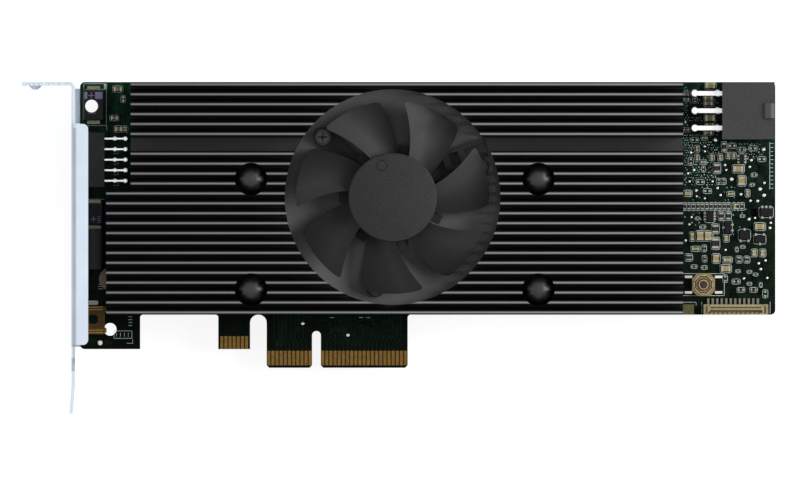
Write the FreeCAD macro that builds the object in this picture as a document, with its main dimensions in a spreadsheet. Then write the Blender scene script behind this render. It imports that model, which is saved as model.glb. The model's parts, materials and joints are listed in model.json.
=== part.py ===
import FreeCAD, Part
import math
import os
import re

import Sketcher

# Low-profile accelerator card with a ribbed heatsink and a fan sunk into it.
#
# Frame, in millimetres: the origin is where the middle of the key notch meets the tips of the gold
# contacts, on the component face of the circuit board. X runs along the card away from the bracket,
# Y runs up the card to its long top edge, and Z rises out of the component face.

DIMENSIONS = {
    # circuit board
    "board_front": -57.0,
    "board_length": 167.65,
    "board_base": 12.8,
    "board_width": 56.1,
    "board_thickness": 1.57,
    "board_corner": 1.15,
    "inner_corner": 0.7,
    "foot_length": 14.5,
    "foot_drop": 8.3,
    "hook_front": -23.67,
    "hook_length": 7.67,
    "hook_slot": 4.0,
    "edge_front": -12.0,
    "edge_length": 34.0,
    "edge_corner": 0.6,
    "key_width": 2.12,
    "key_depth": 8.85,
    "fixing_radius": 1.53,
    "upper_fixing_from_front": 2.78,
    "upper_fixing_from_top": 5.8,
    "lower_fixing_from_front": 7.26,
    "lower_fixing_rise": 9.27,
    # gold contacts
    "contact_pitch": 1.0,
    "contact_width": 0.7,
    "contact_height": 4.1,
    "contact_skin": 0.05,
    "contact_key_gap": 1.5,
    "contacts_before_key": 11,
    "contacts_after_key": 21,
    "hook_contacts": 7,
    "hook_contact_height": 3.06,
    # sheet bracket
    "sheet": 0.86,
    "bend_inside": 0.44,
    "ear_bend_inside": 0.3,
    "bracket_gap": 1.21,
    "bracket_depth": 18.42,
    "bracket_rise": 14.42,
    "bracket_low": -11.1,
    "flange_reach": 4.03,
    "flange_low": 5.5,
    "flange_high": 58.8,
    "flange_corner": 1.3,
    "flange_relief": 0.5,
    "tab_reach": 12.0,
    "tab_wing": 3.17,
    "tab_wing_start": 2.2,
    "tab_slot_width": 4.42,
    "tab_slot_depth": 6.8,
    "tab_slot_from_tip": 5.7,
    "tab_dimple_radius": 1.5,
    "tab_dimple_depth": 1.0,
    "tab_dimple_from_tip": 3.3,
    "tab_dimple_rise": 8.6,
    "ear_width": 8.4,
    "ear_reach": 8.6,
    "ear_corner": 1.6,
    "ear_window_length": 8.6,
    "ear_window_relief": 0.25,
    "blade_shoulder": 2.4,
    "blade_taper": 3.2,
    "blade_width": 10.2,
    "blade_kick_start": -4.1,
    "blade_kick": 0.55,
    "vent_count": 6,
    "vent_pitch": 4.2,
    "vent_width": 2.2,
    "vent_length": 9.0,
    "vent_start": 17.0,
    "vent_rise": 3.0,
    # heatsink
    "sink_front": -44.8,
    "sink_step": 5.9,
    "sink_step_rise": 29.6,
    "strip_length": 22.25,
    "sink_seat": 2.2,
    "sink_base": 3.8,
    "fin_height": 8.3,
    "fin_count": 24,
    "fin_pitch": 2.391,
    "fin_thickness": 1.1,
    "channel_fin": 6,
    "fan_x": 18.37,
    "fan_rise": 28.36,
    "fan_pocket_radius": 26.0,
    "fan_pocket_floor": 2.8,
    "screw_centre_x": 18.885,
    "screw_centre_rise": 19.375,
    "screw_span_x": 69.31,
    "screw_span_y": 26.65,
    "counterbore_radius": 3.94,
    "counterbore_floor": 2.8,
    "boss_radius": 3.1,
    "screw_hole_radius": 1.35,
    # heatsink screws and nuts
    "screw_shank_radius": 1.2,
    "screw_head_radius": 3.07,
    "screw_head_rise": 7.4,
    "screw_dome": 1.6,
    "screw_head_skirt": 0.4,
    "screw_crown_radius": 1.6,
    "screw_neck_radius": 1.9,
    "nut_radius": 2.75,
    "nut_height": 2.1,
    "fit_gap": 0.03,
    # chips under the heatsink
    "processor_size": 9.5,
    "processor_height": 1.2,
    "processor_columns": 4,
    "processor_rows": 2,
    "processor_pitch_x": 27.0,
    "processor_pitch_y": 24.5,
    "processor_centre_x": 18.9,
    "processor_centre_rise": 28.4,
    "bridge_size": 13.0,
    "bridge_height": 1.3,
    "bridge_x": 18.9,
    "bridge_rise": 28.4,
    "choke_size": 4.2,
    "choke_height": 1.9,
    "choke_pitch": 6.5,
    "choke_count": 4,
    "choke_x": 78.0,
    "choke_rise": 16.0,
    "pad_margin": 0.4,
    "support_radius": 2.75,
    "support_x": -49.7,
    "support_rise": 8.6,
    # fan
    "fan_plate_radius": 9.8,
    "fan_arm_count": 3,
    "fan_plate": 1.2,
    "fan_arm_width": 4.6,
    "fan_screw_circle": 22.2,
    "fan_screw_turn": 19.3,
    "fan_screw_shank": 0.95,
    "fan_screw_length": 2.0,
    "fan_screw_head_radius": 1.87,
    "fan_screw_head": 1.1,
    "fan_guide_reach": 25.0,
    "fan_guide_width": 4.4,
    "fan_guide_wall": 0.7,
    "fan_guide_height": 2.2,
    "fan_strap_width": 1.6,
    "fan_strap_inner": 14.4,
    "fan_strap_outer": 18.4,
    "fan_running_gap": 0.7,
    "fan_hub_radius": 10.7,
    "fan_hub_low": 1.7,
    "fan_hub_top": 8.9,
    "fan_hub_wall": 1.0,
    "fan_hub_bevel": 0.6,
    "fan_gate_radius": 1.17,
    "fan_gate_depth": 0.15,
    "fan_gate_circle": 8.06,
    "fan_gate_turn": 109.2,
    "blade_count": 7,
    "blade_tip_radius": 23.3,
    "blade_low": 2.75,
    "blade_high": 8.1,
    "blade_first_turn": 136.3,
    "blade_span": 36.8,
    "blade_sweep": 15.8,
    "blade_root_thickness": 1.3,
    "blade_tip_thickness": 0.8,
    "blade_camber": 0.9,
    "blade_overrun": 1.6,
    "yoke_wall": 0.6,
    "magnet_wall": 1.2,
    "magnet_height": 4.4,
    "air_gap": 0.4,
    "core_height": 2.6,
    "core_rise": 3.3,
    "core_arms": 4,
    "core_arm_width": 2.2,
    "core_shoe": 1.1,
    "core_gap": 0.55,
    "core_ring": 1.2,
    "coil_wall": 0.9,
    "driver_thickness": 0.8,
    "driver_radius": 7.2,
    "tube_radius": 2.8,
    "tube_height": 6.2,
    "sleeve_radius": 1.9,
    "sleeve_height": 5.4,
    "shaft_radius": 0.98,
    "shaft_gap": 0.02,
    "end_play": 0.3,
    # power header
    "power_length": 12.65,
    "power_width": 13.8,
    "power_height": 9.8,
    "power_inset": 0.15,
    "power_lift": 0.4,
    "power_pitch": 4.18,
    "power_row": 4.2,
    "power_socket": 3.4,
    "power_socket_depth": 9.6,
    "power_pin": 1.07,
    "power_columns": 3,
    "power_hole_radius": 0.8,
    "power_bend": 1.1,
    "power_near_leg": 1.1,
    "power_far_leg": 6.65,
    "power_pin_reach": 6.5,
    "power_tail": 0.5,
    "power_latch_width": 3.6,
    "power_latch_length": 3.1,
    "power_latch_top": 0.9,
    "power_latch_height": 1.3,
    # ten-way header
    "header_length": 7.9,
    "header_width": 13.15,
    "header_height": 6.3,
    "header_back": 5.9,
    "header_rise": 30.8,
    "header_wall": 0.9,
    "header_depth": 5.6,
    "header_pitch": 2.54,
    "header_columns": 5,
    "header_pin": 0.62,
    "header_near_leg": 2.5,
    "header_far_leg": 5.03,
    "header_pin_reach": 5.2,
    "header_low_row": 1.5,
    # wire connector
    "wire_from_right": 1.7,
    "wire_length": 15.6,
    "wire_depth": 2.5,
    "wire_height": 3.2,
    "wire_wall": 0.45,
    "wire_pin_count": 12,
    "wire_pin_pitch": 1.087,
    "wire_pin_width": 0.5,
    "wire_pin_reach": 1.4,
    "wire_pin_shift": 0.7,
    "wire_mouth_depth": 1.8,
    "wire_slot_depth": 1.1,
    # tact switch
    "switch_from_right": 17.3,
    "switch_rise": 7.25,
    "switch_size": 5.5,
    "switch_base": 1.4,
    "switch_cover": 0.3,
    "switch_corner": 1.3,
    "switch_collar_radius": 2.35,
    "switch_collar_height": 0.5,
    "switch_button_radius": 1.4,
    "switch_button_height": 1.1,
    "switch_flange": 0.45,
    "switch_flange_thickness": 0.35,
    "switch_travel": 0.25,
    "switch_clearance": 0.05,
    "switch_leg_reach": 1.75,
    "switch_leg_width": 0.55,
    "switch_leg_thickness": 0.25,
    "switch_leg_spread": 3.75,
    "dome_thickness": 0.1,
    # left strip parts
    "tantalum_length": 7.45,
    "tantalum_width": 5.5,
    "tantalum_height": 2.8,
    "tantalum_taper": 0.5,
    "tantalum_from_front": 0.5,
    "tantalum_rise": 46.8,
    "tantalum_terminal": 0.8,
    "tantalum_terminal_width": 3.0,
    "second_tantalum_rise": 21.5,
    "second_tantalum_from_front": 1.2,
    "second_tantalum_length": 5.4,
    "second_tantalum_width": 4.6,
    "moulded_rise": 10.95,
    "moulded_from_front": 0.9,
    "moulded_length": 9.65,
    "moulded_width": 4.7,
    "moulded_height": 4.0,
    "moulded_round": 0.8,
    "light_from_front": 1.9,
    "light_rise": 2.35,
    "light_length": 2.5,
    "light_width": 1.05,
    "light_height": 0.7,
    "side_from_front": 0.6,
    "side_rise": -4.75,
    "side_length": 5.4,
    "side_width": 6.9,
    "side_height": 2.6,
    "side_round": 0.6,
    "side_contact": 0.4,
    # right strip parts
    "oscillator_from_right": 22.25,
    "oscillator_length": 2.65,
    "oscillator_width": 2.5,
    "oscillator_height": 0.9,
    "capacitor_end_proud": 0.03,
    "package_height": 0.9,
    "package_draft": 0.12,
    "package_lift": 0.1,
    "lead_thickness": 0.15,
    "window_gap": 0.35,
}

# Places and sizes that follow from the driving dimensions.
DERIVED = {
    "board_back": "board_front + board_length",
    "board_top": "board_base + board_width",
    "solder_face": "-board_thickness",
    "foot_base": "board_base - foot_drop",
    "foot_back": "board_front + foot_length",
    "hook_back": "hook_front + hook_length",
    "edge_back": "edge_front + edge_length",
    "upper_fixing_x": "board_front + upper_fixing_from_front",
    "upper_fixing_y": "board_top - upper_fixing_from_top",
    "lower_fixing_x": "board_front + lower_fixing_from_front",
    "lower_fixing_y": "lower_fixing_rise",
    "face_inner": "board_front - bracket_gap",
    "face_outer": "face_inner - sheet",
    "bracket_back": "bracket_rise - bracket_depth",
    "bend_depth": "sheet + bend_inside",
    "flange_tip": "face_outer + flange_reach",
    "tab_tip": "face_outer - tab_reach",
    "blade_middle": "bracket_rise - bracket_depth / 2",
    "ear_bend_depth": "sheet + ear_bend_inside",
    "sink_back": "board_back - strip_length",
    "sink_stepped_front": "sink_front - sink_step",
    "sink_step_y": "board_base + sink_step_rise",
    "groove_floor": "sink_seat + sink_base",
    "sink_top": "groove_floor + fin_height",
    "sink_low_edge": "board_base",
    "sink_high_edge": "board_base + fin_pitch * (fin_count - 1) + fin_thickness",
    "groove_width": "fin_pitch - fin_thickness",
    "first_groove": "sink_high_edge - fin_thickness / 2 - fin_pitch / 2",
    "channel_y": "sink_high_edge - fin_thickness / 2 - fin_pitch * channel_fin",
    "fan_y": "board_base + fan_rise",
    "fan_floor": "sink_seat + fan_pocket_floor",
    "screw_centre_y": "board_base + screw_centre_rise",
    "counterbore_seat": "sink_seat + counterbore_floor",
    "screw_low_x": "screw_centre_x - screw_span_x / 2",
    "screw_low_y": "screw_centre_y - screw_span_y / 2",
    "hub_inner": "fan_hub_radius - fan_hub_wall",
    "yoke_inner": "hub_inner - yoke_wall",
    "magnet_inner": "yoke_inner - magnet_wall",
    "yoke_top": "fan_hub_top - fan_hub_wall",
    "core_radius": "magnet_inner - air_gap",
    "core_diagonal": "core_radius / sqrt(2)",
    "processor_y": "board_base + processor_centre_rise",
    "bridge_y": "board_base + bridge_rise",
    "power_front": "board_back - power_inset - power_length",
    "power_middle": "board_top - power_width / 2",
    "power_low_row": "power_lift + power_height / 2 - power_row / 2",
    "power_high_row": "power_low_row + power_row",
    "header_back_x": "board_front + header_back",
    "header_front_x": "header_back_x - header_length",
    "header_low_y": "board_base + header_rise",
    "header_high_row": "header_low_row + header_pitch",
    "header_first_pin": "header_low_y + header_width / 2 - header_pitch * (header_columns - 1) / 2",
    "wire_back": "board_back - wire_from_right",
    "wire_front": "wire_back - wire_length",
    "wire_first_pin": "wire_front + wire_length / 2 - wire_pin_pitch * (wire_pin_count - 1) / 2"
                      " - wire_pin_shift",
    "switch_x": "board_back - switch_from_right",
    "switch_y": "board_base + switch_rise",
    "button_hole_radius": "switch_button_radius + switch_clearance",
    "switch_top": "switch_base + switch_cover",
    "collar_top": "switch_top + switch_collar_height",
}

# Small parts on the bare strip at the card's far end: distance in from the board's back edge, rise
# above its lower long edge, size along X, size along Y, height.
CERAMIC_CAPACITORS = (
    (15.65, 55.3, 2.3, 1.25, 1.0), (16.1, 52.3, 1.9, 0.8, 0.7), (16.1, 50.95, 1.9, 0.8, 0.7),
    (15.75, 47.45, 2.2, 1.4, 1.1), (15.75, 45.7, 2.0, 0.8, 0.7), (16.15, 43.85, 1.8, 0.7, 0.6),
    (17.15, 42.65, 1.0, 0.5, 0.4), (21.5, 53.1, 1.3, 0.5, 0.4), (21.5, 51.95, 1.3, 0.5, 0.4),
    (21.5, 44.6, 1.3, 0.5, 0.4), (18.85, 40.05, 0.55, 1.1, 0.4), (18.85, 37.85, 0.55, 1.1, 0.4),
    (17.4, 36.75, 1.2, 0.5, 0.4), (15.3, 37.95, 0.6, 1.1, 0.4), (13.3, 37.95, 0.6, 1.1, 0.4),
    (11.35, 38.4, 0.6, 0.9, 0.4), (10.0, 38.4, 0.6, 0.9, 0.4), (8.95, 35.15, 2.4, 1.3, 1.0),
    (8.12, 32.3, 1.5, 2.0, 1.2), (10.75, 29.15, 1.3, 0.5, 0.4), (6.7, 29.3, 0.55, 1.2, 0.4),
    (9.75, 26.1, 0.6, 1.3, 0.5), (20.0, 18.8, 0.8, 1.7, 0.7), (18.1, 19.0, 1.5, 2.0, 1.2),
    (16.15, 19.0, 1.5, 2.0, 1.2), (19.25, 15.9, 1.7, 0.6, 0.5), (14.3, 13.55, 1.4, 1.8, 1.1),
    (11.55, 13.2, 1.8, 0.8, 0.7), (11.95, 11.1, 2.2, 1.3, 0.9), (3.75, 21.25, 2.2, 1.3, 1.1),
    (5.05, 14.9, 0.9, 1.3, 0.5), (3.05, 14.9, 0.9, 1.3, 0.5), (11.85, 18.4, 0.8, 1.2, 0.5),
    (21.1, 29.25, 1.4, 0.9, 0.6),
)
RESISTORS = (
    (12.35, 40.5, 0.7, 1.9, 0.35), (8.05, 39.8, 1.2, 0.5, 0.35), (14.1, 35.3, 1.25, 2.0, 0.5),
    (13.65, 32.15, 0.5, 0.9, 0.35), (12.45, 32.15, 0.5, 0.9, 0.35), (14.45, 20.7, 1.3, 1.8, 0.5),
    (14.45, 17.2, 1.5, 2.4, 0.6), (17.15, 16.0, 0.5, 1.0, 0.35), (17.05, 13.5, 0.5, 1.0, 0.35),
    (20.85, 13.8, 1.2, 1.2, 0.5), (8.75, 13.3, 0.8, 1.1, 0.4), (6.85, 13.3, 0.8, 1.1, 0.4),
    (13.05, 23.8, 0.8, 1.6, 0.4), (11.3, 23.8, 0.8, 1.6, 0.4), (12.1, 8.7, 0.5, 1.2, 0.35),
    (5.25, 6.0, 1.3, 0.5, 0.35), (8.3, 6.0, 1.3, 0.5, 0.35), (19.4, 51.75, 0.5, 0.9, 0.35),
)
RESISTOR_ROW_START = 21.85
RESISTOR_ROW_PITCH = 1.06
RESISTOR_ROW_RISE = 26.1
RESISTOR_ROW_COUNT = 14
RESISTOR_ROW_SKIPPED = 11
RESISTOR_ROW_SIZE = (0.5, 1.3, 0.35)
# Distance in, rise, body along X, body along Y, leads on the low side, leads on the high side,
# whether the leads point along Y.
PACKAGES = (
    (2.2, 24.7, 2.9, 2.0, 2, 3, True),
    (15.8, 23.7, 1.8, 2.4, 3, 3, False),
    (11.45, 21.0, 1.6, 2.9, 1, 2, False),
    (7.45, 19.2, 2.4, 2.2, 2, 1, True),
    (3.75, 18.2, 2.4, 1.7, 1, 2, True),
    (8.05, 37.5, 1.1, 2.0, 3, 3, False),
)
# Parts beside the bracket: distance from the board's front edge, rise, size X, size Y, height.
FRONT_CAPACITORS = (
    (9.1, 54.4, 1.9, 0.9, 0.7), (10.4, 52.0, 0.5, 1.2, 0.4), (8.25, 47.45, 1.6, 0.7, 0.5),
    (9.3, 44.8, 1.6, 0.95, 0.6), (10.9, 44.8, 0.7, 0.95, 0.5),
)
LEAD_WIDTH = 0.4
LEAD_REACH = 0.55
LEAD_PITCH = 0.95
CLOSE_LEAD_WIDTH = 0.35
CLOSE_LEAD_PITCH = 0.7
CAPACITOR_END_SHARE = 0.22

# How close, in millimetres, an edge has to pass to count as the one that is meant, and the least
# volume, in cubic millimetres, that a cut has to take away.
HAIR = 0.01
LEAST_CUT = 1e-6

ALONG_X = FreeCAD.Vector(1, 0, 0)
ALONG_Y = FreeCAD.Vector(0, 1, 0)
ALONG_Z = FreeCAD.Vector(0, 0, 1)

document = FreeCAD.newDocument("accelerator_card")
sheet = document.addObject("Spreadsheet::Sheet", "dims")
parts_made = []


def fill_sheet():
    """Puts every driving dimension in the sheet under its own alias."""
    for row, (alias, number) in enumerate(DIMENSIONS.items(), 1):
        sheet.set("A%d" % row, alias)
        sheet.set("B%d" % row, str(number))
        sheet.setAlias("B%d" % row, alias)
    document.recompute()


def spelled(text):
    """Writes a size out in the sheet's aliases, with derived names replaced by their meaning."""
    def swap(match):
        word = match.group()
        if word in DERIVED:
            return "(" + spelled(DERIVED[word]) + ")"
        return "dims." + word if word in DIMENSIONS else word
    return re.sub(r"[A-Za-z_]+", swap, str(text))


def size(text):
    """The present value of a size, in millimetres, degrees or pieces."""
    return float(sheet.evalExpression(spelled(text)))


def bind(item, name, text):
    item.setExpression(name, spelled(text))


def place(item, x="0", y="0", z="0"):
    """Binds where a sub-part stands on the card."""
    bind(item, "Placement.Base.x", x)
    bind(item, "Placement.Base.y", y)
    bind(item, "Placement.Base.z", z)


def new_body(name, x="0", y="0", z="0"):
    body = document.addObject("PartDesign::Body", name)
    body.Label = name
    place(body, x, y, z)
    parts_made.append(body)
    return body


def origin_item(body, role):
    return next(item for item in body.Origin.OriginFeatures if item.Role == role)


def new_sketch(body, name, plane="XY", offset="0"):
    """A sketch on one of the body's own origin planes, shifted along the plane's normal."""
    sketch = body.newObject("Sketcher::SketchObject", name)
    sketch.AttachmentSupport = (origin_item(body, plane + "_Plane"), [""])
    sketch.MapMode = "FlatFace"
    bind(sketch, "AttachmentOffset.Base.z", offset)
    return sketch


def hold_point(sketch, curve, end, x, y):
    """Holds a point of the sketch at two bound distances from the sketch's origin."""
    for kind, text in (("DistanceX", x), ("DistanceY", y)):
        index = sketch.addConstraint(Sketcher.Constraint(kind, -1, 1, curve, end, size(text)))
        bind(sketch, "Constraints[%d]" % index, text)


def add_outline(sketch, corners):
    """A closed straight-sided outline through the corners."""
    points = [FreeCAD.Vector(size(x), size(y), 0) for x, y in corners]
    first = sketch.GeometryCount
    for start, end in zip(points, points[1:] + points[:1]):
        sketch.addGeometry(Part.LineSegment(start, end), False)
    for step, (x, y) in enumerate(corners):
        following = first + (step + 1) % len(corners)
        sketch.addConstraint(Sketcher.Constraint("Coincident", first + step, 2, following, 1))
        hold_point(sketch, first + step, 1, x, y)


def add_circle(sketch, x, y, radius):
    centre = FreeCAD.Vector(size(x), size(y), 0)
    curve = sketch.addGeometry(Part.Circle(centre, ALONG_Z, size(radius)), False)
    hold_point(sketch, curve, 3, x, y)
    index = sketch.addConstraint(Sketcher.Constraint("Radius", curve, size(radius)))
    bind(sketch, "Constraints[%d]" % index, radius)


def add_arc(sketch, start, centre, finish):
    """Adds the shorter arc from start to finish, and says which of its ends is which."""
    turns = [math.atan2(point.y - centre.y, point.x - centre.x) for point in (start, finish)]
    forward = (turns[1] - turns[0]) % (2 * math.pi) < math.pi
    begin, end = turns if forward else reversed(turns)
    if end < begin:
        end += 2 * math.pi
    circle = Part.Circle(centre, ALONG_Z, (start - centre).Length)
    index = sketch.addGeometry(Part.ArcOfCircle(circle, begin, end), False)
    return (index, 1, 2) if forward else (index, 2, 1)


def box_corners(low_x, low_y, high_x, high_y):
    return ((low_x, low_y), (high_x, low_y), (high_x, high_y), (low_x, high_y))


def draw(sketch, shapes):
    """Fills a sketch with circles, given by three sizes, and outlines, given by their corners."""
    for shape in shapes:
        if isinstance(shape[0], str):
            add_circle(sketch, *shape)
        else:
            add_outline(sketch, shape)


def add_pad(body, name, plane, low, high, *shapes):
    """Solid between two heights along the plane's axis."""
    start = "-(%s)" % high if plane == "XZ" else low
    sketch = new_sketch(body, name + "_outline", plane, start)
    draw(sketch, shapes)
    pad = body.newObject("PartDesign::Pad", name)
    pad.Profile = sketch
    bind(pad, "Length", "(%s) - (%s)" % (high, low))
    document.recompute()
    return pad


def add_pocket(body, name, plane, low, high, *shapes):
    """Cut between two heights along the plane's axis."""
    start = "-(%s)" % low if plane == "XZ" else high
    sketch = new_sketch(body, name + "_outline", plane, start)
    draw(sketch, shapes)
    pocket = body.newObject("PartDesign::Pocket", name)
    pocket.Profile = sketch
    bind(pocket, "Length", "(%s) - (%s)" % (high, low))
    document.recompute()
    return pocket


def add_revolution(body, name, corners, kind="PartDesign::Revolution"):
    """Turns an outline of radius and height about the body's upright axis."""
    sketch = new_sketch(body, name + "_outline", "XZ")
    add_outline(sketch, corners)
    turned = body.newObject(kind, name)
    turned.Profile = sketch
    turned.ReferenceAxis = (origin_item(body, "Z_Axis"), [""])
    turned.Angle = 360
    document.recompute()
    return turned


def repeat_along(body, name, features, axis, count, pitch):
    """Repeats features in a row along one of the body's axes."""
    pattern = body.newObject("PartDesign::LinearPattern", name)
    pattern.Originals = features
    pattern.Direction = (origin_item(body, axis + "_Axis"), [""])
    bind(pattern, "Occurrences", count)
    bind(pattern, "Length", "(%s) * ((%s) - 1)" % (pitch, count))
    body.Tip = pattern
    document.recompute()
    return pattern


def repeat_around(body, name, features, count):
    """Repeats features evenly about the body's upright axis."""
    pattern = body.newObject("PartDesign::PolarPattern", name)
    pattern.Originals = features
    pattern.Axis = (origin_item(body, "Z_Axis"), [""])
    pattern.Angle = 360
    bind(pattern, "Occurrences", count)
    body.Tip = pattern
    document.recompute()
    return pattern


def edges_near(feature, direction, spots):
    """Names of the straight edges along a direction that pass within a hair of the spots."""
    names = []
    for index, edge in enumerate(feature.Shape.Edges, 1):
        if edge.Degenerated or edge.Curve.TypeId != "Part::GeomLine":
            continue
        along = edge.Vertexes[-1].Point - edge.Vertexes[0].Point
        if along.cross(direction).Length > HAIR:
            continue
        middle = (edge.Vertexes[-1].Point + edge.Vertexes[0].Point) / 2
        for spot in spots:
            gap = middle - FreeCAD.Vector(*spot)
            lengthways = gap.dot(direction)
            across = gap - direction * lengthways
            if across.Length < HAIR and abs(lengthways) < along.Length / 2 + HAIR:
                names.append("Edge%d" % index)
    return names


def round_edges(body, name, direction, spots, radius, kind="PartDesign::Fillet"):
    """Rounds or chamfers straight edges, picked by the places that they pass."""
    base = body.Tip
    places = [tuple(size(text) for text in spot) for spot in spots]
    dressed = body.newObject(kind, name)
    dressed.Base = (base, edges_near(base, direction, places))
    bind(dressed, "Radius" if kind == "PartDesign::Fillet" else "Size", radius)
    document.recompute()
    return dressed


def add_feature(name, shape):
    """A sub-part whose shape comes from Part's own functions."""
    item = document.addObject("Part::Feature", name)
    item.Label = name
    item.Shape = shape
    item.Placement = FreeCAD.Placement()
    parts_made.append(item)
    return item


def block(low, high):
    """A plain box between two corners given as numbers."""
    spans = [top - bottom for bottom, top in zip(low, high)]
    return Part.makeBox(*spans, FreeCAD.Vector(*low))


# ---------------------------------------------------------------- circuit board and contacts

def board_holes():
    """Every hole through the board: fixings, heatsink screws and header pins."""
    holes = [("upper_fixing_x", "upper_fixing_y", "fixing_radius")]
    holes.append(("lower_fixing_x", "lower_fixing_y", "fixing_radius"))
    for column in (0, 1):
        for row in (0, 1):
            x = "screw_low_x + screw_span_x * %d" % column
            y = "screw_low_y + screw_span_y * %d" % row
            holes.append((x, y, "screw_hole_radius"))
    for row in range(3):
        y = "power_middle + power_pitch * %d" % (row - 1)
        for leg in ("power_near_leg", "power_far_leg"):
            holes.append(("power_front - " + leg, y, "power_hole_radius"))
    return holes


def make_circuit_board():
    body = new_body("circuit_board")
    outline = (
        ("board_front", "foot_base"), ("foot_back", "foot_base"), ("foot_back", "board_base"),
        ("hook_front", "board_base"), ("hook_front", "foot_base"), ("hook_back", "foot_base"),
        ("hook_back", "board_base"), ("edge_front", "board_base"), ("edge_front", "0"),
        ("-key_width / 2", "0"), ("-key_width / 2", "key_depth"), ("key_width / 2", "key_depth"),
        ("key_width / 2", "0"), ("edge_back", "0"), ("edge_back", "board_base"),
        ("board_back", "board_base"), ("board_back", "board_top"), ("board_front", "board_top"),
    )
    add_pad(body, "laminate", "XY", "solder_face", "0", outline)
    outer = (("board_back", "board_base", "0"), ("board_back", "board_top", "0"),
             ("board_front", "board_top", "0"), ("board_front", "foot_base", "0"))
    round_edges(body, "outer_corners", ALONG_Z, outer, "board_corner")
    inner = (("foot_back", "board_base", "0"), ("hook_front", "board_base", "0"),
             ("edge_back", "board_base", "0"))
    round_edges(body, "inner_corners", ALONG_Z, inner, "inner_corner")
    slot = (("hook_back", "board_base", "0"), ("edge_front", "board_base", "0"))
    round_edges(body, "hook_slot_end", ALONG_Z, slot, "hook_slot / 2 - fit_gap")
    key = (("-key_width / 2", "key_depth", "0"), ("key_width / 2", "key_depth", "0"))
    round_edges(body, "key_end", ALONG_Z, key, "key_width / 2 - fit_gap")
    tips = (("edge_front", "0", "0"), ("edge_back", "0", "0"), ("-key_width / 2", "0", "0"),
            ("key_width / 2", "0", "0"))
    round_edges(body, "finger_corners", ALONG_Z, tips, "edge_corner", "PartDesign::Chamfer")
    add_pocket(body, "holes", "XY", "solder_face", "0", *board_holes())


def make_edge_contacts():
    """Gold pads on both faces of the edge connector and on the hook."""
    width = size("contact_width")
    skin = size("contact_skin")
    pads = []
    columns = [-size("contact_key_gap") - size("contact_pitch") * step
               for step in range(int(size("contacts_before_key")))]
    columns += [size("contact_key_gap") + size("contact_pitch") * step
                for step in range(int(size("contacts_after_key")))]
    faces = ((0.0, skin), (size("solder_face") - skin, size("solder_face")))
    for low, high in faces:
        for middle in columns:
            pads.append(block((middle - width / 2, size("edge_corner"), low),
                              (middle + width / 2, size("contact_height"), high)))
    start = size("hook_front") + (size("hook_length") - size("hook_contacts") + 1) / 2
    low_y = size("foot_base") + skin
    for step in range(int(size("hook_contacts"))):
        middle = start + step * size("contact_pitch")
        pads.append(block((middle - width / 2, low_y, 0.0),
                          (middle + width / 2, low_y + size("hook_contact_height"), skin)))
    add_feature("edge_contacts", Part.makeCompound(pads))


# ---------------------------------------------------------------- bracket

def make_bracket():
    body = new_body("bracket")
    blade_low = "blade_middle - blade_width / 2"
    blade_high = "blade_middle + blade_width / 2"
    bend_start = "bracket_rise - bend_depth"
    outline = (
        ("board_top - bend_depth", "bracket_back"), ("board_top - bend_depth", "bracket_rise"),
        ("flange_high + flange_relief", "bracket_rise"), ("flange_high + flange_relief", bend_start),
        ("flange_low - flange_relief", bend_start), ("flange_low - flange_relief", "bracket_rise"),
        ("blade_shoulder", "bracket_rise"), ("blade_shoulder - blade_taper", blade_high),
        ("blade_kick_start", blade_high), ("blade_kick_start", blade_low),
        ("blade_shoulder - blade_taper", blade_low), ("blade_shoulder", "bracket_back"),
    )
    add_pad(body, "face", "YZ", "face_outer", "face_inner", outline)
    kicked = (("face_outer", "blade_kick_start"), ("face_inner", "blade_kick_start"),
              ("face_inner - blade_kick", "bracket_low"), ("face_outer - blade_kick", "bracket_low"))
    add_pad(body, "blade_end", "XY", blade_low, blade_high, kicked)
    make_ear(body, "upper_ear", "upper_fixing_y", "upper_fixing_x")
    make_ear(body, "lower_ear", "lower_fixing_y", "lower_fixing_x")
    make_flange(body, bend_start)
    make_tab(body)
    make_windows(body)


def make_ear(body, name, middle, hole_x):
    """An ear lanced out of the face and folded in behind the board."""
    root = "solder_face - ear_bend_depth"
    tip = "face_inner + ear_reach + (%s) - upper_fixing_x" % hole_x
    low = "(%s) - ear_width / 2" % middle
    high = "(%s) + ear_width / 2" % middle
    window = box_corners(low + " - ear_window_relief", root, high + " + ear_window_relief",
                         "solder_face + ear_window_length")
    add_pocket(body, name + "_window", "YZ", "face_outer", "face_inner", window)
    outline = (("face_outer", root), ("face_outer", "solder_face"), (tip, "solder_face"),
               (tip, "solder_face - sheet"), ("face_inner", "solder_face - sheet"),
               ("face_inner", root))
    add_pad(body, name, "XZ", low, high, outline)
    outer = (("face_outer", middle, "solder_face"),)
    round_edges(body, name + "_outer_bend", ALONG_Y, outer, "ear_bend_depth")
    inner = (("face_inner", middle, "solder_face - sheet"),)
    round_edges(body, name + "_inner_bend", ALONG_Y, inner, "ear_bend_inside")
    corners = ((tip, low, "solder_face"), (tip, high, "solder_face"))
    round_edges(body, name + "_corners", ALONG_Z, corners, "ear_corner")
    add_pocket(body, name + "_hole", "XY", "solder_face - sheet", "solder_face",
               (hole_x, middle, "fixing_radius"))


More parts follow.
